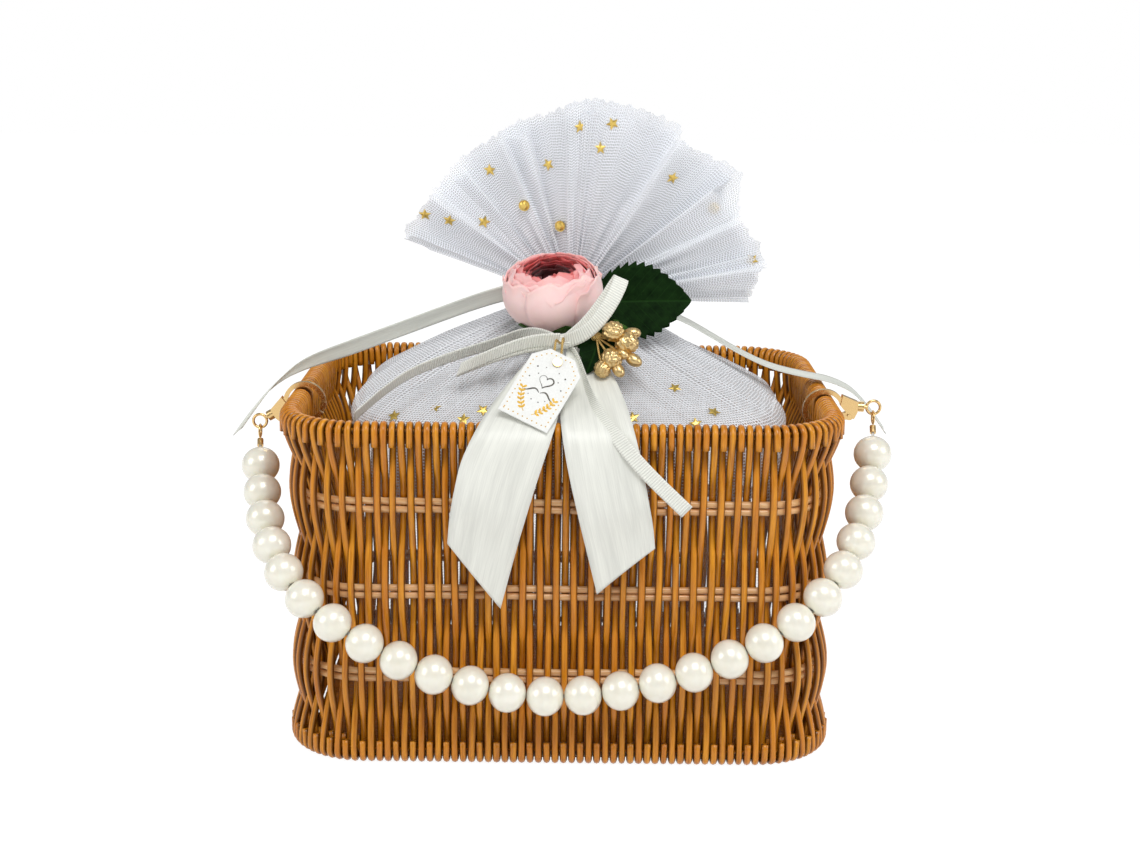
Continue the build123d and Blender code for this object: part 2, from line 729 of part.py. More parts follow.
def pull_ribbon(points, depth, facing):
    """A drawstring end: a flat ribbon, with its face to the front or upwards."""
    with BuildPart() as piece:
        with BuildLine(Plane.XZ.offset(-depth)) as route:
            FilletPolyline(*points, radius=14.0)
        with BuildSketch(Plane(origin=route.line @ 0, x_dir=(0, 1, 0), z_dir=route.line % 0)):
            if facing:
                Rectangle(trim, pull_width)
            else:
                Rectangle(pull_width, trim)
        sweep(path=route.line)
    return piece.part


save(pull_ribbon(pull_points(left_pull), -neck_radius, True), "pull_ribbon_left")
save(pull_ribbon(pull_points(right_pull), 1.0, False), "pull_ribbon_right")

# ================================================================ hang tag
tag_rest = rim_reach + 2 * rest_gap + trim + 0.6  # from the rim's core to the tag's foot
slope = math.radians(tag_slope)
tag_up = Vector(0, math.cos(slope), math.sin(slope))
tag_normal = Vector(0, -math.sin(slope), math.cos(slope))
tag_foot = Vector(0, rim_middle_y, rim_z) + tag_normal * tag_rest
tag_face = Plane(Vector(-1.8, tag_foot.Y, tag_foot.Z) + tag_up * 25.0, x_dir=(1, 0, 0), z_dir=tag_normal)
lean = math.radians(-tag_lean)


def tag_point(across, up):
    """A point of the tag, measured from its brad, turned by its lean."""
    return (across * math.cos(lean) - up * math.sin(lean), across * math.sin(lean) + up * math.cos(lean))


with BuildPart() as hang_tag:
    half = tag_width / 2
    top = brad_inset
    foot = brad_inset - tag_height
    corners = [(-half, foot), (half, foot), (half, top - tag_clip), (half - tag_clip, top)]
    corners += [(tag_clip - half, top), (-half, top - tag_clip)]
    with BuildSketch(tag_face):
        with BuildLine():
            Polyline(*[tag_point(*corner) for corner in corners], close=True)
        make_face()
        Circle(brad_shank / 2 + 0.05, mode=Mode.SUBTRACT)
    extrude(amount=tag_thickness)
save(hang_tag.part, "hang_tag")

with BuildPart() as tag_brad:
    with BuildSketch(tag_face.offset(-0.9)):
        Circle(brad_shank / 2)
    extrude(amount=tag_thickness + 1.3)
    with BuildSketch(tag_face.offset(tag_thickness + 0.1)):
        Circle(brad_radius)
    extrude(amount=0.7)
    with BuildSketch(tag_face.offset(-0.9)):
        Circle(brad_radius)
    extrude(amount=0.6)
save(tag_brad.part, "tag_brad")


def rod(start, end, diameter):
    """A straight round rod between two points."""
    first = Vector(*start)
    last = Vector(*end)
    with BuildPart() as piece:
        with BuildSketch(Plane(origin=first, z_dir=last - first)):
            Circle(diameter / 2)
        extrude(amount=(last - first).length)
    return piece.part


cord_end = tag_face.origin - tag_normal * 0.9 - tag_normal * 0.5
cord_start = bow_middle + Vector(-1.0, -knot_size / 2 - 0.5, 0)
save(rod(cord_start, cord_end, 0.9), "tag_cord")

# ================================================================ flower, leaves and berries
face = math.radians(flower_tip)
flower_axis = Vector(-0.05, -math.cos(face), math.sin(face)).normalized()
flower_middle = Vector(flower_x, flower_y, flower_z)
flower_plane = Plane(flower_middle - flower_axis * 9.0, x_dir=(1, 0, 0), z_dir=flower_axis)


def petal_ring(layer, count, radius, depth, lip, turn, share):
    """A ring of cupped petals, each a sector of a thin bowl; layer 0 is the outermost."""
    petals = []
    seat = flower_plane.offset(layer * (petal + rest_gap))
    for number in range(count):
        plane = Plane(seat.location * Location((0, 0, 0), (0, 0, turn + number * 360 / count)))
        with BuildPart() as piece:
            with BuildSketch(Plane(plane.origin, x_dir=plane.x_dir, z_dir=-plane.y_dir)):
                outer = [(petal_root, 0.0), (radius * 0.8, depth * 0.25), (radius, depth * 0.55), (lip, depth)]
                inner = [(across - petal * 0.75, up + petal * 0.75) for across, up in reversed(outer)]
                with BuildLine():
                    Polyline(*outer, *inner, close=True)
                make_face()
            revolve(axis=Axis(plane.origin, plane.z_dir), revolution_arc=share)
        petals.append(piece.part)
    return Compound(children=petals)


save(petal_ring(0, 5, flower_radius, 19.0, 16.0, 10.0, 66.0), "flower_outer_petals")
save(petal_ring(1, 4, flower_radius - 3.6, 18.8, 11.5, 40.0, 84.0), "flower_middle_petals")
save(petal_ring(2, 3, flower_radius - 7.2, 16.5, 7.0, 0.0, 110.0), "flower_inner_petals")

with BuildPart() as flower_centre:
    with BuildSketch(flower_plane.offset(rest_gap)):
        Circle(petal_root - 1.0)
    extrude(amount=10.0)
    fillet(flower_centre.edges().filter_by(GeomType.CIRCLE).sort_by(Axis(flower_plane.origin, flower_axis))[-1], 2.2)
save(flower_centre.part, "flower_centre")

with BuildPart() as flower_calyx:
    with BuildSketch(flower_plane.offset(-0.3)):
        Circle(5.0)
    extrude(amount=-3.5, taper=35)
save(flower_calyx.part, "flower_calyx")

stem_end = Vector(bow_x + 2.0, bow_y + knot_size / 2 + 0.6, bow_z + 1.0)
stem_start = Vector(neck_x, -(neck_radius + 4.5), neck_low + 1.5)
save(rod(stem_start, stem_end, 4.4), "stem_bundle")
calyx_foot = flower_plane.origin - flower_axis * 4.2
save(rod(calyx_foot, calyx_foot - flower_axis * 3.4, wire), "flower_stem")


def leaf(origin, angle, length, width, teeth, back_tilt, name):
    """A serrated leaf blade: half-sine sides with even teeth, lying in a plane that leans back."""
    turn = math.radians(angle)
    tilt = math.radians(back_tilt)
    along = Vector(math.cos(turn), math.sin(turn) * math.sin(tilt), math.sin(turn) * math.cos(tilt))
    normal = Vector(0, -math.cos(tilt), math.sin(tilt))
    upper = []
    for step in range(2 * teeth + 1):
        share = step / (2 * teeth)
        bite = 0.88 if step % 2 else 1.0
        upper.append((length * share, width / 2 * math.sin(math.pi * share**0.85) * bite))
    lower = [(place, -side) for place, side in reversed(upper[1:-1])]
    with BuildPart() as blade:
        with BuildSketch(Plane(origin, x_dir=along, z_dir=normal)):
            with BuildLine():
                Polyline(*upper, *lower, close=True)
            make_face()
        extrude(amount=leaf_thickness)
    save(blade.part, name)


leaf(Vector(neck_x + 7.0, flower_y + 10.5, flower_z + 4.0), -20.0, 42.0, 27.0, 11, 10.0, "large_leaf")
leaf(bow_middle + Vector(14.4, 8.5, 8.3), -100.0, 24.0, 13.0, 8, 32.0, "lower_leaf")
leaf(bow_middle + Vector(4.0, 8.5, 3.3), 12.0, 17.0, 4.5, 3, 25.0, "small_leaf")

berry_root = bow_middle + Vector(5.4, -4.4, 1.7)
berry_sprigs = [(0, 9.5), (-30, 9.5), (-60, 9.5), (16, 17.0), (-15, 18.0), (-45, 17.0), (-78, 12.0), (32, 11.5)]
berries = []
berry_wires = []


def above_satin(height, lift):
    """The Y at which a height lies this far above the satin between the bow and the rim."""
    slope = math.radians(trim_slope)
    reach = rim_reach + rest_gap + trim / 2 + lift
    return rim_middle_y + ((height - rim_z) * math.cos(slope) - reach) / math.sin(slope)


for number, (angle, distance) in enumerate(berry_sprigs):
    radius = 1.7 + 0.12 * (number % 3)
    across = berry_root.X + distance * math.cos(math.radians(angle))
    height = berry_root.Z + distance * math.sin(math.radians(angle))
    centre = Vector(across, min(above_satin(height, berry_lift), berry_root.Y + 3), height)
    reach = centre - berry_root
    with BuildPart(Plane(centre)) as berry:
        Sphere(radius)
    berries.append(berry.part)
    berry_wires.append(rod(berry_root + reach.normalized() * 1.6, centre - reach.normalized() * radius, berry_wire))
save(Compound(children=berries), "gold_berries")
save(Compound(children=berry_wires), "berry_wires")

with BuildPart(Plane(berry_root)) as berry_bunch:
    Sphere(1.6)
save(berry_bunch.part, "berry_tie")
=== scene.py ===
# %% [markdown]
# # Flower girl basket
# A lesson in building one soft, woven, hand-made object from short pieces of code.
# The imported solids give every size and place.  This file dresses them: cane that bends like
# cane, net that gathers, satin that creases, and pearls on a string.
# All lengths are metres, Z is up, and the basket's front faces -Y.

import math

import bmesh
import bpy
import numpy as np
from mathutils import Matrix, Vector


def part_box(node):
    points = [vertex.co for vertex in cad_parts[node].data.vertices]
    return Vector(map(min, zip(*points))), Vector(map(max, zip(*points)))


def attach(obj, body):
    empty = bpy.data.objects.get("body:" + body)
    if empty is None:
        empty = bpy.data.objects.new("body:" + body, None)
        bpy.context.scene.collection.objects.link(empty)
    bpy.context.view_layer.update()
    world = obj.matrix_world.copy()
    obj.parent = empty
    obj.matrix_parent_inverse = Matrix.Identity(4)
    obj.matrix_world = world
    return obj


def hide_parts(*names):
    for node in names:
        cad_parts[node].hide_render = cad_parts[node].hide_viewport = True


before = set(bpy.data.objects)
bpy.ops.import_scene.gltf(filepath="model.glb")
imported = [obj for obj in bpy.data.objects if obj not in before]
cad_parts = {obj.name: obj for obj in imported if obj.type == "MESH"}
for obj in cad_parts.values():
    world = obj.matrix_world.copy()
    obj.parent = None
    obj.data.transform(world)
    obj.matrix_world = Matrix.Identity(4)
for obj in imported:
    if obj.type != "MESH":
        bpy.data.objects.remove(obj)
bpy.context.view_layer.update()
mm = 0.001
print("solids carried over:", len(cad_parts))

# %% [markdown]
# ## Surfaces as functions
# A shape here is a grid of points: rows along it and columns across or around it.  Numpy works
# out the whole grid at once, and the same few helpers hand any grid to Blender.  That is faster
# than placing vertices one by one, and the formula of each piece stays readable.


# %% Helpers for grids
def lattice(grid, close_rows=False, close_columns=False, u=None, v=None):
    """Vertices, four-cornered faces and face-corner UVs of (pieces, rows, columns, 3) points.

    A closed direction joins its last line back to its first.  u runs along the rows and v along
    the columns, one value more than the grid has in a closed direction.
    """
    grid = np.asarray(grid, float)
    if grid.ndim == 3:
        grid = grid[None]
    pieces, rows, columns, _ = grid.shape
    r = np.arange(rows if close_rows else rows - 1)
    c = np.arange(columns if close_columns else columns - 1)
    p, r, c = np.meshgrid(np.arange(pieces), r, c, indexing="ij")
    corner_r = np.stack([r, r, r + 1, r + 1], -1)
    corner_c = np.stack([c, c + 1, c + 1, c], -1)
    faces = p[..., None] * rows * columns + (corner_r % rows) * columns + corner_c % columns
    u = np.linspace(0, 1, rows + close_rows) if u is None else np.asarray(u, float)
    v = np.linspace(0, 1, columns + close_columns) if v is None else np.asarray(v, float)
    uv = np.stack([u[corner_r], v[corner_c]], -1)
    return grid.reshape(-1, 3), faces.reshape(-1, 4), uv.reshape(-1, 2)


def joined(*lattices):
    """Several lattices as one."""
    points, faces, uvs, first = [], [], [], 0
    for grid_points, grid_faces, grid_uv in lattices:
        points.append(grid_points)
        faces.append(grid_faces + first)
        uvs.append(grid_uv)
        first += len(grid_points)
    return np.concatenate(points), np.concatenate(faces), np.concatenate(uvs)


def make_piece(name, surface, finish, body, covers=(), closed=False, tone=None, smooth=True):
    """A mesh object from a lattice, with its finish, riding on a body in place of CAD nodes."""
    points, faces, uv = surface
    mesh = bpy.data.meshes.new(name)
    mesh.vertices.add(len(points))
    mesh.vertices.foreach_set("co", np.asarray(points, np.float32).ravel())
    mesh.loops.add(faces.size)
    mesh.loops.foreach_set("vertex_index", faces.astype(np.int32).ravel())
    mesh.polygons.add(len(faces))
    mesh.polygons.foreach_set("loop_start", np.arange(0, faces.size, 4, dtype=np.int32))
    mesh.uv_layers.new(name="UVMap").uv.foreach_set("vector", uv.astype(np.float32).ravel())
    if tone is not None:
        layer = mesh.attributes.new("tone", "FLOAT", "POINT")
        layer.data.foreach_set("value", np.asarray(tone, np.float32).ravel())
    mesh.update(calc_edges=True)
    if closed:
        shell = bmesh.new()
        shell.from_mesh(mesh)
        bmesh.ops.remove_doubles(shell, verts=shell.verts, dist=1e-7)
        bmesh.ops.recalc_face_normals(shell, faces=shell.faces)
        shell.to_mesh(mesh)
        shell.free()
    mesh.polygons.foreach_set("use_smooth", np.full(len(mesh.polygons), smooth))
    mesh.materials.append(finish)
    mesh.update()
    piece = bpy.data.objects.new(name, mesh)
    bpy.context.scene.collection.objects.link(piece)
    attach(piece, body)
    if covers:
        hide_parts(*covers)
    print(f"{name}: {len(points)} points, rides on {body}")
    return piece


def thicken(piece, thickness):
    """A thin cloth or card surface gets its thickness from Solidify, half on each side."""
    wall = piece.modifiers.new("thickness", "SOLIDIFY")
    wall.thickness = thickness
    wall.offset = 0.0
    return piece


def through(knots, values, where):
    """A smooth curve through values at rising knots: cubic pieces with averaged slopes."""
    knots = np.asarray(knots, float)
    values = np.asarray(values, float)
    flat = values.ndim == 1
    values = values[:, None] if flat else values
    gaps = np.diff(knots)[:, None]
    slopes = np.diff(values, axis=0) / gaps
    ends = np.concatenate([slopes[:1], (slopes[1:] + slopes[:-1]) / 2, slopes[-1:]])
    spot = np.clip(np.searchsorted(knots, where, side="right") - 1, 0, len(knots) - 2)
    gap = gaps[spot]
    t = ((np.asarray(where) - knots[spot])[..., None]) / gap
    a, b = values[spot], values[spot + 1]
    out = (
        a * (2 * t**3 - 3 * t**2 + 1)
        + ends[spot] * gap * (t**3 - 2 * t**2 + t)
        + b * (3 * t**2 - 2 * t**3)
        + ends[spot + 1] * gap * (t**3 - t**2)
    )
    return out[..., 0] if flat else out


def unit(vectors):
    """Each vector over its own length."""
    return vectors / np.maximum(np.linalg.norm(vectors, axis=-1, keepdims=True), 1e-12)


def walked(path):
    """The distance walked along a path to each of its points."""
    steps = np.linalg.norm(np.diff(path, axis=0), axis=1)
    return np.concatenate([[0.0], np.cumsum(steps)])


def tube(path, radius, sides, across):
    """Circles carried along a path; across is a direction that the path never takes.

    Each ring is path + radius (cos a * side + sin a * lift), side = tangent x across.
    The two ends close to a point.
    """
    path = np.asarray(path, float)
    tangent = unit(np.gradient(path, axis=0))
    side = unit(np.cross(tangent, np.asarray(across, float)))
    lift = np.cross(side, tangent)
    a = np.linspace(0, 2 * np.pi, sides, endpoint=False)
    ring = side[:, None] * np.cos(a)[None, :, None] + lift[:, None] * np.sin(a)[None, :, None]
    radius = np.broadcast_to(np.asarray(radius, float), len(path))
    grid = path[:, None] + ring * radius[:, None, None]
    tips = np.repeat(path[[0, -1], None], sides, 1)
    grid = np.concatenate([tips[:1], grid, tips[1:]])
    far = walked(path)
    u = np.concatenate([far[:1], far, far[-1:]])
    v = np.linspace(0, 2 * np.pi * float(radius.max()), sides + 1)
    return lattice(grid, close_columns=True, u=u, v=v)


# %% [markdown]
# ## Finishes
# Every finish is a small node tree.  A recipe starts from one Principled shader whose plain
# numbers are typed on its own sockets, and only colour, roughness, bump or alpha are driven by
# texture nodes.  Patterns that must follow a strand or a cloth read the piece's UV map, which is
# laid out in metres, so a weave of one millimetre is one millimetre everywhere.


# %% Recipe helpers
class Recipe:
    """A material being written: add nodes, join sockets, and keep the Principled shader at hand."""

    def __init__(self, name, **plain):
        self.material = bpy.data.materials.new(name)
        self.material.use_nodes = True
        self.tree = self.material.node_tree
        self.shader = self.tree.nodes["Principled BSDF"]
        for socket, value in plain.items():
            self.shader.inputs[socket.replace("_", " ")].default_value = value

    def node(self, kind, **settings):
        """One node; a setting is a socket's value, or else a property of the node."""
        made = self.tree.nodes.new(kind)
        for key, value in settings.items():
            if key in made.inputs:
                made.inputs[key].default_value = value
            else:
                setattr(made, key, value)
        return made

    def join(self, source, target):
        """One link from an output to an input."""
        self.tree.links.new(source, target)

    def uv(self, scale):
        """The piece's own UV map, in metres, times a scale."""
        place = self.node("ShaderNodeUVMap", uv_map="UVMap")
        sized = self.node("ShaderNodeMapping")
        sized.inputs["Scale"].default_value = scale
        self.join(place.outputs["UV"], sized.inputs["Vector"])
        return sized.outputs["Vector"]

    def space(self, scale):
        """Object coordinates times a scale."""
        place = self.node("ShaderNodeTexCoord")
        sized = self.node("ShaderNodeMapping")
        sized.inputs["Scale"].default_value = scale
        self.join(place.outputs["Object"], sized.inputs["Vector"])
        return sized.outputs["Vector"]

    def noise(self, vector, detail=3.0):
        """Fractal noise; the scale of the vector sets its grain."""
        made = self.node("ShaderNodeTexNoise", Scale=1.0, Detail=detail, Roughness=0.55)
        self.join(vector, made.inputs["Vector"])
        return made.outputs["Fac"]

    def ramp(self, value, stops):
        """Colours at stops from 0 to 1, run into each other."""
        made = self.node("ShaderNodeValToRGB")
        band = made.color_ramp
        while len(band.elements) < len(stops):
            band.elements.new(0.5)
        for element, (place, colour) in zip(band.elements, stops):
            element.position = place
            element.color = (*colour, 1.0)
        self.join(value, made.inputs["Fac"])
        return made.outputs["Color"]

    def spread(self, value, low, high, out_low, out_high):
        """The range from low to high, spread over out_low to out_high and held at its ends."""
        made = self.node("ShaderNodeMapRange")
        limits = {"From Min": low, "From Max": high, "To Min": out_low, "To Max": out_high}
        for socket, number in limits.items():
            made.inputs[socket].default_value = number
        self.join(value, made.inputs["Value"])
        return made.outputs["Result"]

    def calc(self, operation, a, b):
        """One Math node; a and b are sockets or numbers."""
        made = self.node("ShaderNodeMath", operation=operation)
        for socket, value in zip(made.inputs, (a, b)):
            if isinstance(value, (int, float)):
                socket.default_value = value
            else:
                self.join(value, socket)
        return made.outputs[0]

    def blend(self, fac, a, b):
        """Colour a turning into colour b as fac goes from 0 to 1."""
        made = self.node("ShaderNodeMix", data_type="RGBA", blend_type="MIX")
        for socket, value in ((made.inputs[0], fac), (made.inputs[6], a), (made.inputs[7], b)):
            if isinstance(value, (int, float)):
                socket.default_value = value
            elif isinstance(value, tuple):
                socket.default_value = (*value, 1.0)
            else:
                self.join(value, socket)
        return made.outputs[2]

    def bump(self, height, distance, strength):
        """Bends the normal by a height, over a distance in metres."""
        made = self.node("ShaderNodeBump", Strength=strength, Distance=distance)
        self.join(height, made.inputs["Height"])
        self.join(made.outputs["Normal"], self.shader.inputs["Normal"])

    def set(self, socket, source):
        """Feeds one socket of the Principled shader."""
        self.join(source, self.shader.inputs[socket])


def paint(*srgb):
    """A colour written as sRGB from 0 to 255, as the linear numbers that a shader takes."""
    s = np.array(srgb) / 255.0
    linear = np.where(s <= 0.04045, s / 12.92, ((s + 0.055) / 1.055) ** 2.4)
    return tuple(float(x) for x in linear)


# %% [markdown]
# Lacquered cane: honey brown, a little darker or redder from one cane to the next, with fine
# streaks along the strand and a soft lacquer gloss.  The streaks read the UV map, whose first
# number runs along the cane, so they never cross it.  Where two canes lie side by side, each cane's
# sides are painted darker than its face: painted shade for the shadow between them.  The UV map's
# second number tells sides from face.


# %% Cane, weaver and mat finishes
strand_girth = 8 * mm  # the second number of a strand's UV map runs from 0 to this, once round


def cane_finish(name, light, deep, red, gloss, flank_shade=0.0):
    """Streaked lacquered cane: colour = ramp of streak noise, shifted by each strand's own tone.

    Round a cane, |cos| is 1 on its sides and 0 on its face; flank_shade is how dark the painted
    shade on its sides gets, standing in for the shadow where two canes lie side by side.
    """
    r = Recipe(name, Roughness=gloss, Specular_IOR_Level=0.38, Coat_Weight=0.18, Coat_Roughness=0.2)
    streak = r.noise(r.uv((60, 900, 1)), 4.0)
    blotch = r.noise(r.uv((45, 45, 1)), 2.0)
    tone = r.node("ShaderNodeAttribute", attribute_name="tone").outputs["Fac"]
    grain = r.ramp(streak, [(0.28, deep), (0.62, light)])
    mixed = r.blend(r.spread(tone, 0, 1, 0.0, 0.55), grain, red)
    blotched = r.blend(r.spread(blotch, 0.35, 0.7, 0.0, 0.3), mixed, deep)
    # painted shade on the cane's sides, for the shadow where neighbouring canes touch
    if flank_shade:
        turn = r.node("ShaderNodeSeparateXYZ")
        r.join(r.uv((1, 2 * math.pi / strand_girth, 1)), turn.inputs[0])
        beside = r.calc("ABSOLUTE", r.calc("COSINE", turn.outputs["Y"], 0.0), 0.0)
        shadow = tuple(c * 0.16 for c in red)
        blotched = r.blend(r.spread(beside, 0.55, 0.98, 0.0, flank_shade), blotched, shadow)
    r.set("Base Color", blotched)
    r.set("Roughness", r.spread(streak, 0.3, 0.7, gloss - 0.06, gloss + 0.12))
    r.bump(streak, 0.00012, 0.5)
    return r.material


# the last number darkens each cane's sides with painted shade
cane_lacquer = cane_finish(
    "cane_lacquer", paint(236, 160, 30), paint(168, 96, 10), paint(202, 116, 18), 0.27, 0.9
)
# the weavers' pale colours are a painted highlight on the same cane, for the flash glinting off their gloss
weaver_highlit_lacquer = cane_finish(
    "weaver_highlit_lacquer", paint(248, 206, 150), paint(220, 152, 84), paint(234, 178, 122), 0.2
)
mat_lacquer = cane_finish("mat_lacquer", paint(196, 124, 40), paint(142, 78, 16), paint(164, 90, 24), 0.42)
print("cane finishes made")

# %% [markdown]
# Metal, pearl and clear line.  The clasps are pale gilt zinc, so they are metallic with hair-fine
# scratches.  A pearl bead is ivory acrylic under a clear nacre coat: a soft body colour, some
# light under the skin, and a soft-edged highlight on top.


# %% Gilt, pearl, clear line
def gilt_finish(name, colour, gloss):
    """Polished gilt: metallic, with fine scratches in roughness and bump."""
    r = Recipe(name, Metallic=1.0, Roughness=gloss)
    rub = r.noise(r.space((900, 900, 900)), 3.0)
    r.set("Base Color", r.ramp(rub, [(0.3, tuple(c * 0.86 for c in colour)), (0.7, colour)]))
    r.set("Roughness", r.spread(rub, 0.3, 0.7, gloss, gloss + 0.16))
    r.bump(rub, 0.00004, 0.4)
    return r.material


gilt = gilt_finish("clasp_gilt", paint(236, 200, 140), 0.16)
foil = gilt_finish("star_foil", paint(232, 200, 110), 0.24)
berry_gilt = gilt_finish("berry_gilt", paint(226, 196, 140), 0.27)

pearl_recipe = Recipe(
    "pearl_nacre", Roughness=0.3, Metallic=0.14, Coat_Weight=0.8, Coat_Roughness=0.12,
    Subsurface_Weight=0.15, Subsurface_Scale=0.003,
)  # fmt: skip
pearl_recipe.shader.inputs["Subsurface Radius"].default_value = (1.0, 0.8, 0.6)
cloud = pearl_recipe.noise(pearl_recipe.space((160, 160, 160)), 2.0)
nacre = pearl_recipe.ramp(cloud, [(0.3, paint(240, 236, 220)), (0.7, paint(248, 246, 233))])
pearl_recipe.set("Base Color", nacre)
pearl_recipe.bump(cloud, 0.00003, 0.2)
pearl_nacre = pearl_recipe.material

line_recipe = Recipe("clear_line", Roughness=0.12, Transmission_Weight=0.6, IOR=1.45)
line_grain = line_recipe.noise(line_recipe.uv((300, 300, 1)))
line_colour = line_recipe.ramp(line_grain, [(0.3, paint(225, 226, 224)), (0.7, paint(244, 244, 242))])
line_recipe.set("Base Color", line_colour)
clear_line = line_recipe.material
print("gilt, pearl and line made")

# %% [markdown]
# Net.  Tulle is a knit of hexagonal holes about a millimetre across.  Modelling the holes would
# take millions of faces, so the cloth is a plain surface and its alpha carries the holes: a
# Voronoi texture with little randomness gives cells, and its distance to the cell's edge gives
# the thread.  Layers of net over each other then look milky, as the real gathered layers do.


# %% Net finishes
def net_finish(name, colour, cell, veil, thin_below=None):
    """Tulle: alpha is 1 on the threads and veil in the holes; cell is the size of a hole.

    Below the height thin_below the bag is one open layer, so its alpha falls to a fifth.
    """
    r = Recipe(name, Roughness=0.65, Sheen_Weight=0.3, Sheen_Roughness=0.5)
    cells = r.node(
        "ShaderNodeTexVoronoi", voronoi_dimensions="2D", feature="DISTANCE_TO_EDGE",
        Scale=1.0, Randomness=0.16,
    )  # fmt: skip
    r.join(r.uv((1 / cell, 1.15 / cell, 1)), cells.inputs["Vector"])
    edge = cells.outputs["Distance"]
    thread = 0.12
    cover = r.spread(edge, thread, thread + 0.1, 1.0, veil)
    if thin_below is not None:
        height = r.node("ShaderNodeSeparateXYZ")
        r.join(r.space((1, 1, 1)), height.inputs[0])
        foot, top = thin_below - 20 * mm, thin_below + 12 * mm
        cover = r.calc("MULTIPLY", cover, r.spread(height.outputs["Z"], foot, top, 0.2, 1.0))
    r.set("Alpha", cover)
    drift = r.noise(r.uv((60, 60, 1)), 2.0)
    r.set("Base Color", r.ramp(drift, [(0.3, tuple(c * 0.93 for c in colour)), (0.7, colour)]))
    r.bump(edge, 0.00005, 0.25)
    return r.material


ruffle_net = net_finish("ruffle_net", paint(238, 241, 246), 0.00115, 0.30)
pouch_net_finish = net_finish("pouch_net", paint(234, 236, 240), 0.0012, 0.24, thin_below=0.108)
lining_net = net_finish("lining_net", paint(222, 226, 230), 0.0009, 0.22, thin_below=0.112)
print("net finishes made")

# %% [markdown]
# Ribbons.  Satin is a weave of long floats: it shines in streaks that run along the ribbon.
# Grosgrain has ribs from side to side, one every millimetre or so.  Both read the UV map in
# metres: the first number runs along the ribbon and the second across it.


# %% Ribbon finishes
def satin_finish(name, colour):
    """Satin ribbon: lengthways streaks in colour and roughness, broad ones under fine ones."""
    r = Recipe(name, Roughness=0.42, Sheen_Weight=0.2, Sheen_Roughness=0.4, Specular_IOR_Level=0.45)
    streak = r.noise(r.uv((90, 2600, 1)), 3.0)
    weave = r.noise(r.uv((5200, 1500, 1)), 1.0)
    broad = r.noise(r.uv((26, 380, 1)), 2.0)
    sheen = r.calc("ADD", r.calc("MULTIPLY", streak, 0.45), r.calc("MULTIPLY", broad, 0.55))
    r.set("Base Color", r.ramp(sheen, [(0.36, tuple(c * 0.84 for c in colour)), (0.62, colour)]))
    r.set("Roughness", r.spread(sheen, 0.38, 0.62, 0.30, 0.50))
    r.bump(r.calc("ADD", r.calc("MULTIPLY", streak, 0.5), r.calc("MULTIPLY", weave, 0.6)), 0.00006, 0.6)
    return r.material


def grosgrain_finish(name, colour, rib):
    """Grosgrain: ribs across the ribbon, height = sine of the distance along it."""
    r = Recipe(name, Roughness=0.6, Sheen_Weight=0.25, Sheen_Roughness=0.5)
    ribs = r.node(
        "ShaderNodeTexWave", wave_type="BANDS", bands_direction="X", wave_profile="SIN",
        Scale=1.0, Distortion=0.4,
    )  # fmt: skip
    ribs.inputs["Detail Scale"].default_value = 2.0
    r.join(r.uv((math.pi / 10 / rib, 120, 1)), ribs.inputs["Vector"])
    shade = r.ramp(ribs.outputs["Fac"], [(0.1, tuple(c * 0.80 for c in colour)), (0.6, colour)])
    r.set("Base Color", shade)
    r.bump(ribs.outputs["Fac"], 0.00018, 0.8)
    return r.material


satin = satin_finish("ivory_satin", paint(236, 237, 229))
pull_satin = satin_finish("pull_satin", paint(228, 231, 222))
grosgrain = grosgrain_finish("white_grosgrain", paint(240, 241, 232), 0.00095)

cord_recipe = Recipe("gilt_cord", Roughness=0.4, Metallic=0.6)
ply = cord_recipe.node("ShaderNodeTexWave", wave_type="BANDS", bands_direction="DIAGONAL", Scale=1.0)
cord_recipe.join(cord_recipe.uv((900, 900, 1)), ply.inputs["Vector"])
twist = [(0.2, paint(150, 116, 60)), (0.7, paint(222, 190, 118))]
cord_recipe.set("Base Color", cord_recipe.ramp(ply.outputs["Fac"], twist))
cord_recipe.bump(ply.outputs["Fac"], 0.0001, 0.7)
gilt_cord = cord_recipe.material
print("ribbon finishes made")

# %% [markdown]
# Silk flower, leaves and card.  A petal is printed silk: pale pink on its back, deeper rose at
# its lip and inside.  The piece carries a tone attribute, 0 on the outside of the flower and 1
# in its heart, and the ramp turns that into colour.  A leaf shows a pale midrib and side veins,
# which are drawn from its UV map.


# %% Petal, leaf, stem and card finishes
petal_recipe = Recipe(
    "pink_silk", Roughness=0.62, Sheen_Weight=0.35, Sheen_Roughness=0.5,
    Subsurface_Weight=0.12, Subsurface_Scale=0.002,
)  # fmt: skip
petal_tone = petal_recipe.node("ShaderNodeAttribute", attribute_name="tone").outputs["Fac"]
petal_cloud = petal_recipe.noise(petal_recipe.space((120, 120, 120)), 3.0)
petal_tint = petal_recipe.calc("ADD", petal_tone, petal_recipe.spread(petal_cloud, 0.3, 0.7, -0.05, 0.05))
petal_colours = [
    (0.02, paint(255, 214, 211)), (0.22, paint(250, 188, 187)), (0.46, paint(232, 112, 110)),
    (0.7, paint(178, 44, 50)), (0.92, paint(74, 12, 20)),
]  # fmt: skip
petal_recipe.set("Base Color", petal_recipe.ramp(petal_tint, petal_colours))
petal_vein = petal_recipe.noise(petal_recipe.uv((60, 700, 1)), 3.0)
petal_recipe.bump(petal_vein, 0.00025, 0.5)
pink_silk = petal_recipe.material


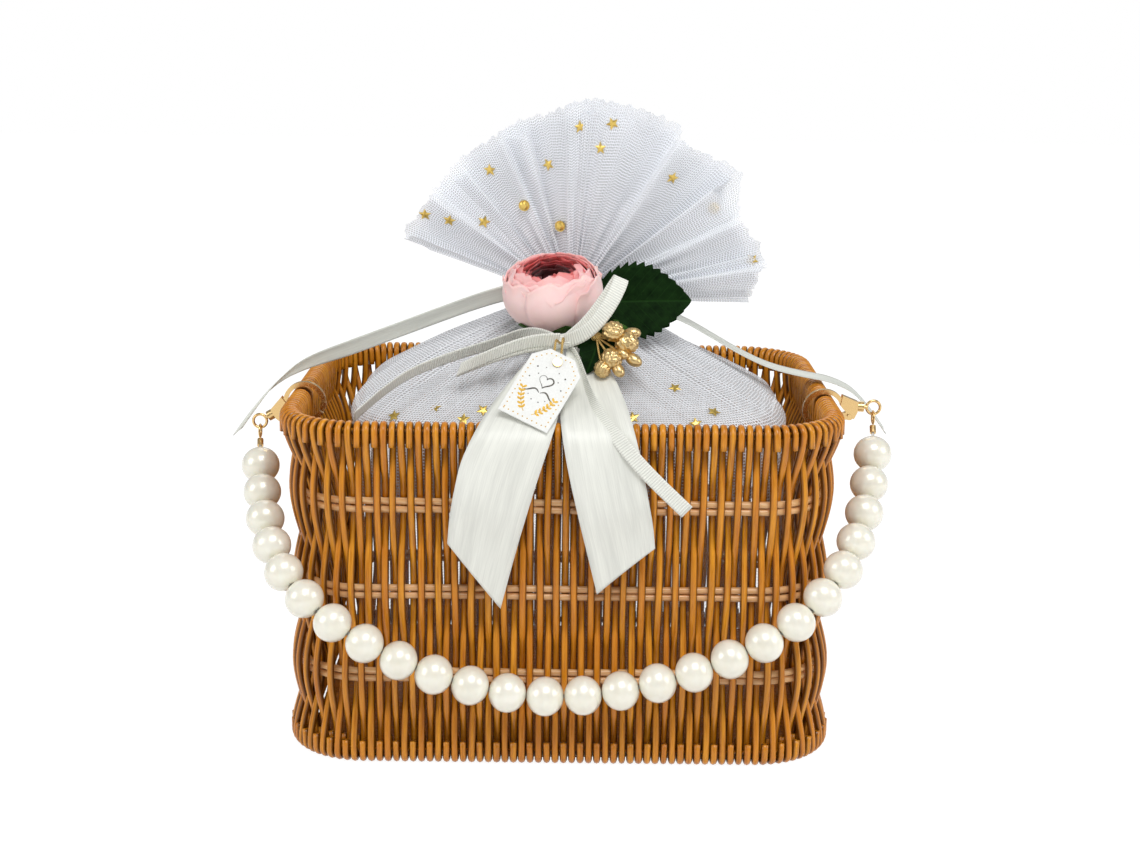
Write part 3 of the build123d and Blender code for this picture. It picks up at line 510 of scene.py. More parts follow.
def leaf_finish(name, deep, bright, vein_gap):
    """Silk leaf: v is the distance from the midrib; a vein lies wherever (u - 0.9 |v|) / gap is whole."""
    r = Recipe(name, Roughness=0.66, Specular_IOR_Level=0.06)
    split = r.node("ShaderNodeSeparateXYZ")
    r.join(r.uv((1, 1, 1)), split.inputs[0])
    away = r.calc("ABSOLUTE", split.outputs["Y"], 0.0)
    slant = r.calc("SUBTRACT", split.outputs["X"], r.calc("MULTIPLY", away, 0.9))
    part = r.calc("FRACT", r.calc("DIVIDE", slant, vein_gap), 0.0)
    phase = r.calc("ABSOLUTE", r.calc("SUBTRACT", part, 0.5), 0.0)
    vein = r.spread(phase, 0.0, 0.07, 1.0, 0.0)
    rib = r.spread(away, 0.0, 0.0006, 1.0, 0.0)
    line = r.calc("MAXIMUM", r.calc("MULTIPLY", vein, 0.55), rib)
    mottle = r.noise(r.space((260, 260, 260)), 3.0)
    between = tuple(d * 0.5 + b * 0.5 for d, b in zip(deep, bright))
    ground = r.ramp(mottle, [(0.3, deep), (0.75, between)])
    r.set("Base Color", r.blend(r.calc("MULTIPLY", line, 0.75), ground, bright))
    r.bump(r.calc("SUBTRACT", r.calc("MULTIPLY", mottle, 0.4), line), 0.0003, 0.6)
    return r.material


leaf_silk = leaf_finish("leaf_silk", paint(4, 24, 3), paint(30, 62, 22), 0.0042)
light_leaf = leaf_finish("light_leaf_silk", paint(40, 74, 24), paint(96, 130, 60), 0.0034)

tape_recipe = Recipe("stem_tape", Roughness=0.8)
tape = tape_recipe.noise(tape_recipe.space((500, 500, 1400)), 3.0)
tape_recipe.set("Base Color", tape_recipe.ramp(tape, [(0.3, paint(52, 76, 36)), (0.7, paint(92, 120, 60))]))
tape_recipe.bump(tape, 0.0002, 0.7)
stem_tape = tape_recipe.material

card_recipe = Recipe("tag_card", Roughness=0.5)
fibre = card_recipe.noise(card_recipe.space((1500, 1500, 1500)), 4.0)
card_colour = card_recipe.ramp(fibre, [(0.3, paint(226, 227, 224)), (0.7, paint(236, 237, 234))])
card_recipe.set("Base Color", card_colour)
card_recipe.bump(fibre, 0.00003, 0.5)
tag_card = card_recipe.material

ink_recipe = Recipe("dark_ink", Roughness=0.4)
ink_grain = ink_recipe.noise(ink_recipe.space((1200, 1200, 1200)))
ink_recipe.set("Base Color", ink_recipe.ramp(ink_grain, [(0.3, paint(34, 32, 26)), (0.7, paint(70, 60, 34))]))
dark_ink = ink_recipe.material
gold_ink = gilt_finish("gold_ink", paint(168, 134, 54), 0.34)
print("flower, leaf and card finishes made")

# %% [markdown]
# ## The woven wall
# The wall is a rounded rectangle seen from above.  One walk round it, starting at the back end
# of the left side and going forward, gives the place and outward direction of every cane.

# %% The walk round the wall
hoop_wire = 2.6 * mm
cane_gap = 0.15 * mm
cane_round = 2.6 * mm
cane_pitch = 3.1 * mm
rim_reach = hoop_wire / 2 + cane_gap + cane_round
strand_reach = hoop_wire / 2 + cane_gap + cane_round / 2
basket_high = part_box("long_canes")[1]
half_length = basket_high.x - rim_reach
half_depth = basket_high.y - rim_reach
corner = 32 * mm - rim_reach
rim_z = basket_high.z - rim_reach
foot_z = rim_reach


def wall_line(walk, inset=0.0):
    """Place, outward and forward direction at a distance walked along the rounded rectangle.

    Straight sides alternate with quarter circles; inset moves the line inwards along outward.
    """
    sides = np.array([2 * (half_depth - corner), 2 * (half_length - corner)] * 2)
    arc = corner * math.pi / 2
    starts = np.concatenate([[0.0], np.cumsum(np.stack([sides, np.full(4, arc)], 1).ravel())])
    walk = np.mod(np.asarray(walk, float), starts[-1])
    leg = np.clip(np.searchsorted(starts, walk, side="right") - 1, 0, 7)
    into = walk - starts[leg]
    heading = -math.pi / 2 + (leg // 2) * math.pi / 2 + np.where(leg % 2 == 1, into / corner, 0.0)
    forward = np.stack([np.cos(heading), np.sin(heading), np.zeros_like(heading)], -1)
    outward = np.stack([forward[..., 1], -forward[..., 0], np.zeros_like(heading)], -1)
    cx, cy = half_length - corner, half_depth - corner
    begin = np.array([
        [-half_length, cy], [-cx, -cy], [-cx, -half_depth], [cx, -cy],
        [half_length, -cy], [cx, cy], [cx, half_depth], [-cx, cy],
    ])[leg]  # fmt: skip
    straight = begin + forward[..., :2] * into[..., None]
    curved = begin + outward[..., :2] * corner
    flat = np.where((leg % 2 == 1)[..., None], curved, straight)
    place = np.concatenate([flat, np.zeros((*flat.shape[:-1], 1))], -1)
    return place - outward * inset, outward, forward


girth = 4 * (half_length + half_depth - 2 * corner) + 2 * math.pi * corner
cane_count = 2 * round(girth / (2 * cane_pitch))
print("girth of the wall", round(girth, 4), "places for canes", cane_count)

# %% [markdown]
# A cane is folded over the rim's core wire, runs down the wall in and out of three pairs of
# weavers, and is folded under the foot hoop.  Its neighbour does the opposite.  Each cane here is
# an oval tube on that path; a little seeded sway and its own tone keep the wall hand-made.

# %% Canes
row_drops = np.array([32, 65, 97]) * mm
row_z = basket_high.z - row_drops
row_waist = np.array([3.0, 3.6, 2.6]) * mm
foot_waist = 1.6 * mm
tuck = 5 * mm
knot_z = np.concatenate([[rim_z], row_z, [foot_z]])
knot_waist = np.concatenate([[0.0], row_waist, [foot_waist]])


def cane_path(side):
    """Path of a cane, (rings, 2): distance out of the wall line, and height.

    Down the wall, out = side * reach * cos(pi * k) - waist, k rising by one from row to row.
    """
    reach = strand_reach * side
    fold = np.linspace(0, np.pi, 9)
    over = np.stack([-reach * np.cos(fold), rim_z + strand_reach * np.sin(fold)], 1)
    drop = np.linspace(rim_z, foot_z, 47)[1:-1]
    step = np.interp(-drop, -knot_z, np.arange(5))
    waist = through(-knot_z, knot_waist, -drop)
    wall = np.stack([reach * np.cos(np.pi * step) - waist, drop], 1)
    under = np.stack([reach * np.cos(fold) - foot_waist, foot_z - strand_reach * np.sin(fold)], 1)
    tail_up = np.array([[-reach, rim_z - tuck], [-reach, rim_z - tuck / 2]])
    tail_down = np.array([[-reach - foot_waist, foot_z + tuck / 2], [-reach - foot_waist, foot_z + tuck]])
    return np.concatenate([tail_up, over, wall, under, tail_down])


def cane_group(name, first, side, covers, seed):
    """All canes of one phase as one piece: an oval ring carried along each cane's own path."""
    rng = np.random.default_rng(seed)
    index = np.arange(first, cane_count, 2)
    spot, outward, forward = wall_line(index * girth / cane_count)
    # a cane where a clasp hooks round the rim is left out
    at_side = abs(abs(spot[:, 0]) - half_length) < 1 * mm
    at_clasp = abs(spot[:, 1] - clasp_y(spot[:, 0])) < 1.6 * mm
    keep = ~(at_side & at_clasp)
    spot, outward, forward = spot[keep], outward[keep], forward[keep]
    path = cane_path(side)
    count, rings = len(spot), len(path)
    height = path[:, 1]
    free = np.sin(np.pi * np.clip((height - foot_z) / (rim_z - foot_z), 0, 1)) ** 0.6
    sway = rng.normal(0, 0.30 * mm, (count, 1))
    sway = sway * np.sin(height / (13 * mm) + rng.uniform(0, 6.28, (count, 1)))
    sway = (sway + rng.normal(0, 0.22 * mm, (count, 1))) * free
    centre = spot[:, None] + outward[:, None] * path[None, :, :1] + forward[:, None] * sway[..., None]
    centre[..., 2] = height
    tangent = unit(np.gradient(centre, axis=1))
    broad = np.broadcast_to(forward[:, None], tangent.shape)
    thick = unit(np.cross(tangent, broad))
    sides = 8
    a = np.linspace(0, 2 * np.pi, sides, endpoint=False)
    width = (1.38 + rng.normal(0, 0.05, (count, 1, 1, 1))) * mm
    ring = broad[:, :, None] * np.cos(a)[:, None] * width
    ring = ring + thick[:, :, None] * np.sin(a)[:, None] * cane_round / 2
    grid = centre[:, :, None] + ring
    ends = np.repeat(centre[:, [0, -1], None], sides, 2)
    grid = np.concatenate([ends[:, :1], grid, ends[:, 1:]], 1)
    far = walked(path)
    u = np.concatenate([[0], far, far[-1:]])
    surface = lattice(grid, close_columns=True, u=u, v=np.linspace(0, strand_girth, sides + 1))
    # each cane reads its own stretch of the streak texture
    shift = np.repeat(rng.uniform(0, 3, count), len(surface[1]) // count * 4)
    surface[2][:, 0] += shift
    tone = np.repeat(rng.uniform(0, 1, count), (rings + 2) * sides)
    return make_piece(name, surface, cane_lacquer, "basket", covers, tone=tone)


left_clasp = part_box("left_clasp_body")
right_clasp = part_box("right_clasp_body")


def clasp_y(x):
    """Where the clasp on the same side as x hooks round the rim."""
    left = (left_clasp[0].y + left_clasp[1].y) / 2
    right = (right_clasp[0].y + right_clasp[1].y) / 2
    return np.where(x < 0, left, right)


cane_group("long_canes_woven", 0, 1, ["long_canes"], 11)
cane_group("short_canes_woven", 1, -1, ["short_loop_canes"], 12)

# %% [markdown]
# Each row is a pair of round weavers.  They stay nearly straight while the canes bend round
# them, so what shows is a row of short bright dashes between the canes.  Their pale colour is a
# painted highlight: they are the same cane as the rest, painted lighter for the glint off its gloss.


# %% Weavers and hoops
def hoop_tube(name, heights, inset, finish, covers, seed, wave=0.0):
    """Round strands closed on themselves: a circle of points carried round the wall line."""
    rng = np.random.default_rng(seed)
    stations, sides = 424, 10
    walk = np.linspace(0, girth, stations, endpoint=False)
    place, outward, _ = wall_line(walk, inset)
    a = np.linspace(0, 2 * np.pi, sides, endpoint=False)
    up = np.array([0, 0, 1.0])
    ring = outward[:, None] * np.cos(a)[:, None] + up * np.sin(a)[:, None]
    u, v = np.linspace(0, girth, stations + 1), np.linspace(0, strand_girth, sides + 1)
    parts, tones = [], []
    for height in heights:
        ripple = wave * np.sin(2 * np.pi * walk / girth * (cane_count / 2))
        centre = place + outward * ripple[:, None]
        waves = walk / girth * 2 * np.pi * rng.integers(5, 9)
        centre[:, 2] = height + 0.12 * mm * np.sin(waves + rng.uniform(0, 6))
        parts.append(lattice(centre[:, None] + hoop_wire / 2 * ring, True, True, u=u, v=v))
        tones.append(np.full(stations * sides, rng.uniform(0, 1)))
    tone = np.concatenate(tones)
    return make_piece(name, joined(*parts), finish, "basket", covers, tone=tone, closed=True)


pair = np.array([1.45, -1.45]) * mm
for row, name in enumerate(("upper_weavers", "middle_weavers", "lower_weavers")):
    heights = row_z[row] + pair
    hoop_tube(name + "_highlit", heights, row_waist[row], weaver_highlit_lacquer, [name], 20 + row, 0.1 * mm)
# the core hoops take the cane finish, so its painted shade also darkens their outer and inner faces
hoop_tube("rim_core", [rim_z], 0.0, cane_lacquer, ["rim_core_wire"], 30)
hoop_tube("foot_core", [foot_z], foot_waist, cane_lacquer, ["base_core_wire"], 31)

# %% [markdown]
# The base is a plaque of the same cane, woven over and under.  Its two faces are one height
# field: strands in both directions, each rising where it passes over the other.


# %% Base mat
def woven_plaque(name, covers):
    """Over-and-under height field: z = strand arch times the sine of a chequer of crossings."""
    low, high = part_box("base_mat")
    pitch = 4.2 * mm
    x = np.linspace(low.x, high.x, 191)
    y = np.linspace(low.y, high.y, 141)
    gx, gy = np.meshgrid(x, y, indexing="ij")
    radius = np.array([corner - 3 * mm])
    cx, cy = high.x - radius, high.y - radius
    dx, dy = np.maximum(abs(gx) - cx, 0), np.maximum(abs(gy) - cy, 0)
    far = np.hypot(dx, dy)
    pull = np.where(far > radius, radius / np.maximum(far, 1e-9), 1.0)
    px = np.where(far > 0, np.sign(gx) * (np.minimum(abs(gx), cx) + dx * pull), gx)
    py = np.where(far > 0, np.sign(gy) * (np.minimum(abs(gy), cy) + dy * pull), gy)
    over = np.sin(np.pi * gx / pitch) * np.sin(np.pi * gy / pitch)
    arch_x = np.sqrt(np.clip(1 - (2 * np.mod(gy / pitch, 1) - 1) ** 2, 0, 1))
    arch_y = np.sqrt(np.clip(1 - (2 * np.mod(gx / pitch, 1) - 1) ** 2, 0, 1))
    height = np.maximum(0.55 * arch_x + 0.32 * over, 0.55 * arch_y - 0.32 * over)
    middle = (low.z + high.z) / 2
    half = (high.z - low.z) / 2
    top = np.stack([px, py, middle + half * np.clip(height + 0.1, 0.05, 0.97)], -1)
    under = np.stack([px, py, middle - half * np.clip(height + 0.1, 0.05, 0.93)], -1)
    sheet = np.concatenate([top, under[:, ::-1]], 1)
    surface = lattice(sheet, close_columns=True, u=x, v=np.concatenate([y, y[::-1], y[:1]]))
    # the two short ends close against each other
    rows, columns = sheet.shape[:2]
    c = np.arange(len(y) - 1)
    caps = []
    for row in (0, rows - 1):
        base = row * columns
        caps.append(np.stack([base + c, base + c + 1, base + columns - 2 - c, base + columns - 1 - c], -1))
    faces = np.concatenate([surface[1], *caps])
    uv = np.concatenate([surface[2], np.zeros((2 * len(c) * 4, 2))])
    tone = np.random.default_rng(5).uniform(0.2, 0.8, rows * columns)
    plaque = (surface[0], faces, uv)
    return make_piece(name, plaque, mat_lacquer, "basket", covers, closed=True, tone=tone)


woven_plaque("base_plaque", ["base_mat"])

# %% [markdown]
# ## Pearl handle
# The handle is twenty-six pearl beads on a clear line, clipped to the basket by two lobster
# clasps.  The line is limp, so it lies on a smooth spline that is pulled towards its control
# points without a kink.  Everything that follows a line reads its points off such a spline.


# %% Route of the line
def spline_points(controls):
    """Points read off an open NURBS spline of order 3 that starts and ends at its end controls."""
    curve = bpy.data.curves.new("route", "CURVE")
    curve.dimensions = "3D"
    curve.resolution_u = 14
    spline = curve.splines.new("NURBS")
    spline.points.add(len(controls) - 1)
    weighted = np.concatenate([np.asarray(controls, float), np.ones((len(controls), 1))], 1)
    spline.points.foreach_set("co", weighted.ravel())
    spline.order_u = 3
    spline.use_endpoint_u = True
    holder = bpy.data.objects.new("route", curve)
    mesh = bpy.data.meshes.new_from_object(holder)
    flat = np.empty(len(mesh.vertices) * 3)
    mesh.vertices.foreach_get("co", flat)
    bpy.data.objects.remove(holder)
    bpy.data.meshes.remove(mesh)
    bpy.data.curves.remove(curve)
    return flat.reshape(-1, 3)


strand_corners = mm * np.array([
    (-117.4, -21.2, 110.2), (-116.3, -29.0, 103.3), (-113.0, -45.0, 93.0), (-108.8, -61.0, 83.0),
    (-99.5, -78.5, 71.5), (-82.0, -88.6, 58.5), (-58.0, -88.8, 44.5), (-31.5, -88.6, 35.0),
    (-3.5, -88.6, 31.0), (26.0, -88.8, 34.5), (55.0, -88.6, 43.5), (82.0, -87.8, 57.0),
    (101.5, -77.0, 73.0), (111.8, -58.5, 87.5), (116.8, -41.0, 101.5), (119.6, -30.0, 112.0),
    (119.9, -23.8, 118.7),
])  # fmt: skip
line_route = spline_points(strand_corners)
line_far = walked(line_route)
line_length = float(line_far[-1])
print("length of the line", round(line_length, 4))

# %% The line and its beads
line_diameter = 1.2 * mm
line_across = (0.05, 0.9, 0.35)
line_tube = tube(line_route, line_diameter / 2, 10, line_across)
line_piece = make_piece(
    "bead_line", line_tube, clear_line, "handle", ["handle_string"], closed=True
)

pearl_count = 26
pearl_pitch = 13.75 * mm
pearl_diameter = 14.4 * mm
pearl_length = 13.7 * mm


def on_line(distance):
    """Points of the route at distances walked along it."""
    return np.stack([np.interp(distance, line_far, line_route[:, k]) for k in range(3)], 1)


def bead_string():
    """Beads of revolution: radius = r * sqrt(1 - x^2) down to the bore, a little flattened along
    the line, one at each pitch, turned so that the bore follows the line."""
    rng = np.random.default_rng(3)
    start = (line_length - (pearl_count - 1) * pearl_pitch) / 2
    where = start + np.arange(pearl_count) * pearl_pitch
    spot = on_line(where)
    along = unit(on_line(where + 1 * mm) - on_line(where - 1 * mm))
    side = unit(np.cross(along, np.array(line_across)))
    lift = np.cross(side, along)
    bore = 1.0 * mm
    edge = math.acos(bore / (pearl_diameter / 2))
    x = np.sin(np.linspace(-edge, edge, 25))
    profile_r = np.sqrt(1 - x**2) * pearl_diameter / 2
    profile_x = x * pearl_length / 2
    inner = np.array([[profile_x[-1] - 0.4 * mm, bore * 0.86], [profile_x[0] + 0.4 * mm, bore * 0.86]])
    profile = np.concatenate([np.stack([profile_x, profile_r], 1), inner])
    a = np.linspace(0, 2 * np.pi, 36, endpoint=False)
    size = 1 + rng.normal(0, 0.004, (pearl_count, 1, 1, 1))
    ring = side[:, None, None] * np.cos(a)[:, None] + lift[:, None, None] * np.sin(a)[:, None]
    across = ring * profile[:, 1][:, None, None]
    grid = spot[:, None, None] + size * (along[:, None, None] * profile[:, 0][:, None, None] + across)
    return lattice(grid, True, True)


pearl_piece = make_piece(
    "pearl_beads", bead_string(), pearl_nacre, "handle", ["pearls"], closed=True
)

# %% [markdown]
# The clasps, their levers, pins and swivel eyes are small cast parts whose shape the solids
# already have in full.  They only need their gilt finish.

# %% Finish on the carried-over metal
metal_nodes = [
    "left_clasp_body", "left_clasp_lever", "left_lever_pin", "left_swivel_eye", "left_end_ring",
    "right_clasp_body", "right_clasp_lever", "right_lever_pin", "right_swivel_eye", "right_end_ring",
    "string_crimps",
]  # fmt: skip
for node in metal_nodes:
    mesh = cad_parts[node].data
    mesh.materials.clear()
    mesh.materials.append(gilt)
print("gilt on", len(metal_nodes), "metal pieces")

# %% [markdown]
# ## Drawstring pouch
# The pouch is a bag of white net that fills the basket and closes to a gathered neck.  As a
# surface it is a stack of rounded outlines, from a small foot, up a straight wall, over a full
# shoulder and into the neck.  The gathers are shallow waves round the bag that grow towards the
# neck, because there the same cloth has to fit a smaller girth.

# %% Pouch shape
neck_x = 3 * mm
pouch_rows = mm * np.array([
    # height, half length, half depth, centre x
    (3.6, 66, 48, 3), (9, 72, 54, 3), (22, 82, 62, 3), (60, 83, 63, 3), (112, 83.5, 63, 3),
    (124, 83, 62.5, 2), (131, 76, 57, 0), (138, 63.5, 46.5, -1), (145, 50, 36, -1.5),
    (151, 38, 27, -0.5), (156.5, 26.5, 19, 1.5), (160.5, 17, 12.5, 2.5), (163, 10.5, 9, 3),
    (164.5, 7.2, 6.6, 3), (167, 7.6, 6.0, 3),
])  # fmt: skip
pouch_power = np.array([3.4, 3.6, 4.0, 4.2, 4.2, 4.0, 3.2, 2.7, 2.4, 2.2, 2.1, 2.0, 2.0, 2.0, 2.0])


def gathers(u, rng, counts, share):
    """Irregular folds: a sum of sines of whole numbers of waves, with random phases."""
    total = np.zeros_like(u)
    for count in counts:
        phase = count * u + rng.uniform(0, 2 * np.pi)
        phase = phase + share * np.sin(3 * u + rng.uniform(0, 6))
        total += np.sin(phase) / len(counts)
    return total


def pouch_surface(u, t, fold, seed, shrink=0.0):
    """Superellipse stack: x = a |cos u|^(2/n), y = b |sin u|^(2/n), times 1 + gathers.

    t runs from foot to neck along the rows of pouch_rows; shrink moves the wall inwards.
    """
    rng = np.random.default_rng(seed)
    knots = np.linspace(0, 1, len(pouch_rows))
    level = through(knots, pouch_rows, t)
    power = through(knots, pouch_power, t)
    n = 2 / power[:, None]
    c, s = np.cos(u)[None], np.sin(u)[None]
    outline_x = np.sign(c) * np.abs(c) ** n
    outline_y = np.sign(s) * np.abs(s) ** n
    a = level[:, 1:2] - shrink
    b = level[:, 2:3] - shrink
    fold_t = [0, 0.3, 0.4, 0.5, 0.6, 0.75, 0.86, 0.95, 1]
    fold_depth = [0.4, 0.25, 0.9, 2.0, 2.7, 2.6, 1.7, 0.75, 0.5]
    deep = np.interp(t, fold_t, fold_depth) * fold * mm
    fine = gathers(u, rng, (27, 38, 51), 1.6)
    wide = gathers(u, rng, (7, 11, 16), 0.8)
    ripple = (0.75 * fine[None] + 0.7 * wide[None]) * deep[:, None]
    reach = np.hypot(a * outline_x, b * outline_y)
    grow = 1 + ripple / np.maximum(reach, 4 * mm)
    x = level[:, 3:4] + a * outline_x * grow
    y = b * outline_y * grow
    z = level[:, 0:1] + 0.35 * ripple + 0 * x
    return np.stack([x, y, z], -1)


def net_uv(grid):
    """UV in metres for a closed net: across = walk round the widest row, along = walk up."""
    up = np.concatenate([[0], np.cumsum(np.linalg.norm(np.diff(grid, axis=0), axis=-1).mean(1))])
    wide = np.linalg.norm(np.diff(np.concatenate([grid, grid[:, :1]], 1), axis=1), axis=-1)
    row = wide[wide.sum(1).argmax()]
    return up, np.concatenate([[0], np.cumsum(row)])


u_round = np.linspace(0, 2 * np.pi, 480, endpoint=False)
outer_grid = pouch_surface(u_round, np.linspace(0, 1, 110), 1.0, 41)
up, round_far = net_uv(outer_grid)
pouch_piece = make_piece(
    "pouch_outer_net", lattice(outer_grid, close_columns=True, u=up, v=round_far),
    pouch_net_finish, "pouch", ["pouch_front_panel", "pouch_back_panel"],
)  # fmt: skip
lining_grid = pouch_surface(u_round[::2], np.linspace(0.38, 1, 60), 0.8, 42, 1.6 * mm)
lining_grid[..., 2] -= 0.9 * mm
lining_up, lining_round = net_uv(lining_grid)
lining_piece = make_piece(
    "pouch_lining_net", lattice(lining_grid, close_columns=True, u=lining_up, v=lining_round),
    lining_net, "pouch", [],
)  # fmt: skip

# %% [markdown]
# ## Ruffle
# Above the neck the cloth is free and opens like a fan.  Each layer is a gathered sector: the
# angle and the radius are its two parameters.  It falls into a few broad panels that overlap, the
# gathers at the neck are fine, and the cut edge is a little uneven.  Two layers lean forward and
# two lean back, each with its own number of panels, so that their folds don't line up.

# %% Ruffle layers
ruffle_centre = np.array([3, 0, 163]) * mm
rim_angles = np.radians([
    1, 5, 15.8, 24.4, 31, 36.5, 40, 51, 60.5, 70.6,
    79.8, 87.1, 95.5, 104, 112.6, 127.4, 135.6, 146.3, 157.4, 161,
])  # fmt: skip
rim_radii = mm * np.array([
    70, 74.3, 76.4, 73, 73.5, 76.5, 81, 76, 78.6, 78.6,
    79, 77.6, 74, 71.6, 70.6, 69.4, 68, 68.2, 65.5, 55,
])  # fmt: skip


def ruffle_layer(name, front, seed, reach, lean, angles, covers, panels):
    """Gathered sector: broad panels that overlap like leaning pleats, and fine gathers at the root.

    With p the pleat's phase at an angle, depth = lean * r + 4 sin p, and the point is pushed
    sideways by 6.4 sin p * cos(angle), in millimetres at the rim: each panel leans away from the
    middle and lies over the next one.  The gathers are quick small waves that die out with r.
    """
    rng = np.random.default_rng(seed)
    columns, rows = 560, 64
    angle = np.radians(np.linspace(*angles, columns))
    rho = np.linspace(0.045, 1, rows)[:, None] ** 1.1
    swing = angle * 180 / np.pi / (angles[1] - angles[0]) * 2 * np.pi
    drift = rng.uniform(0, 6.28, 8)
    phase = panels * swing + 1.0 * np.sin(2 * swing + drift[0]) + 0.7 * np.sin(5 * swing + drift[1])
    strength = 0.8 + 0.3 * np.sin(3 * swing + drift[2])
    wave = 0.78 * np.sin(phase) + 0.22 * np.arcsin(0.96 * np.sin(phase))
    wave = (wave + 0.10 * np.sin(3.3 * phase + drift[3])) * strength
    within = np.clip(angle, rim_angles[0], rim_angles[-1])
    frayed = rng.normal(0, 0.22, columns) + 0.5 * np.sin(37 * swing + drift[4])
    frayed = frayed + 0.4 * np.sin(61 * swing + drift[6]) - 0.8 * wave
    edge = through(rim_angles, rim_radii, within) * reach + frayed * mm
    r = rho * edge[None]
    grow = np.minimum(1, r / (70 * mm)) ** 0.9
    gather = 0.9 * mm * np.sin(4.1 * phase + drift[5] + 2 * rho)
    gather = gather * np.clip(1 - rho / 0.75, 0, 1) * np.minimum(1, r / (9 * mm))
    side = 6.4 * mm * np.cos(angle) * wave[None] * grow
    side = side + 1.1 * gather * np.cos(1.7 * phase + drift[7])[None]
    turned = angle[None] + side / np.maximum(r, 6 * mm)
    depth = 1.2 * mm + r * math.tan(math.radians(lean)) + wave[None] * grow * 4.0 * mm + gather
    depth = depth + 2.6 * mm * (r / (75 * mm)) ** 2 * np.sin(2 * swing + drift[5])[None]
    x, z = ruffle_centre[0] + r * np.cos(turned), ruffle_centre[2] + r * np.sin(turned)
    grid = np.stack([x, front * -depth, z], -1)
    across = walked(grid[-1])
    up = walked(grid[:, columns // 2])
    piece = make_piece(name, lattice(grid, u=up, v=across), ruffle_net, "pouch", covers)
    return grid


ruffles = [
    ruffle_layer("ruffle_front_outer", 1, 51, 1.0, 6.0, (2, 160.5), ["ruffle_front_layer"], 7),
    ruffle_layer("ruffle_front_inner", 1, 52, 0.95, 3.0, (4, 159), [], 6),
    ruffle_layer("ruffle_back_outer", -1, 53, 0.985, 6.5, (1, 159), ["ruffle_back_layer"], 6.5),
    ruffle_layer("ruffle_back_inner", -1, 54, 0.93, 3.5, (3, 160), [], 8),
]

# %% [markdown]
# The drawstring is a thin twisted cord that ties the neck.  Its twist is two strands laid round
# each other, which a tube with a wavy radius already shows.


# %% Drawstring
def drawstring():
    """Two-ply ring: radius = wire * (0.86 + 0.14 cos(2 a - 22 w)) at the turn w round the neck."""
    low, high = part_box("drawstring")
    middle_z = (low.z + high.z) / 2
    wire = (high.z - low.z) / 2
    ring = (high.x - low.x) / 2 - wire
    w = np.linspace(0, 2 * np.pi, 160, endpoint=False)
    a = np.linspace(0, 2 * np.pi, 12, endpoint=False)
    r = wire * (0.86 + 0.14 * np.cos(2 * a[None] - 22 * w[:, None]))
    x = (ring + r * np.cos(a)) * np.cos(w[:, None]) + neck_x
    y = (ring + r * np.cos(a)) * np.sin(w[:, None])
    z = middle_z + r * np.sin(a) + 0 * w[:, None]
    u, v = np.linspace(0, 2 * np.pi * ring, 161), np.linspace(0, 2 * np.pi * wire, 13)
    surface = lattice(np.stack([x, y, z], -1), True, True, u=u, v=v)
    return make_piece("neck_cord", surface, pull_satin, "pouch", ["drawstring"], closed=True)


drawstring()

# %% [markdown]
# ## Ribbons
# A ribbon is a strip: stations along it, each with a left and a right edge point.  Giving the two
# edges their own points makes slanted ends, twists and tapers come out by themselves.  Smooth
# curves through the stations do the rest, and Solidify gives the cloth its thickness.


# %% Strip helper
def satin_tail(name, left, right, covers, crown):
    """A strip between two edge curves, with s from 0 to 1 across it.

    Point = left + s (right - left) + crown * 4 s (1 - s) * normal; all in millimetres.
    """
    rows, columns = 90, 13
    left, right = np.asarray(left, float) * mm, np.asarray(right, float) * mm
    middle = (left + right) / 2
    knots = walked(middle)
    t = np.linspace(0, knots[-1], rows)
    edge_l, edge_r = through(knots, left, t), through(knots, right, t)
    s = np.linspace(0, 1, columns)[None, :, None]
    grid = edge_l[:, None] + s * (edge_r - edge_l)[:, None]
    normal = unit(np.cross(np.gradient(grid[:, columns // 2], axis=0), edge_r - edge_l))
    grid = grid + crown * mm * 4 * s * (1 - s) * normal[:, None]
    width = float(np.median(np.linalg.norm(edge_r - edge_l, axis=1)))
    centre = grid[:, columns // 2]
    length = float(walked(centre)[-1])
    v = np.linspace(0, width, columns)
    surface = lattice(grid, u=walked(centre), v=v)
    piece = make_piece(name, surface, satin, "pouch", covers)
    thicken(piece, 0.25 * mm)
    return piece, width, length


def drape_y(z):
    """Depth of a trim at a height: down the slope from the bow, over the rim, then a soft belly."""
    heights = np.array([60, 80, 97, 104, 111, 119, 126.5, 129.6, 131.4, 132.2, 137.3, 147.4, 152, 158])
    depths = -np.array([
        82.0, 83.2, 85.2, 86.8, 86.2, 84.2, 81.6, 80.6, 78.7, 75.6, 65.8, 49.6, 47.0, 45.5,
    ])  # fmt: skip
    return through(heights, depths, z)


def hang(points, forward=0.0):
    """Edge points (x, z) of a trim put on the drape, forward of it by a small gap."""
    points = np.asarray(points, float)
    z = points[:, 1]
    return np.stack([points[:, 0], drape_y(z) - forward, z + np.where(z > 131, forward, 0.0)], 1)


# %% [markdown]
# The two broad satin tails hang from the bow, over the rim and down the front.  Each has one
# slanted cut end.  They stand off the cane in a soft belly and fold back below it, so the upper
# part catches the light and the lower part turns away from it.

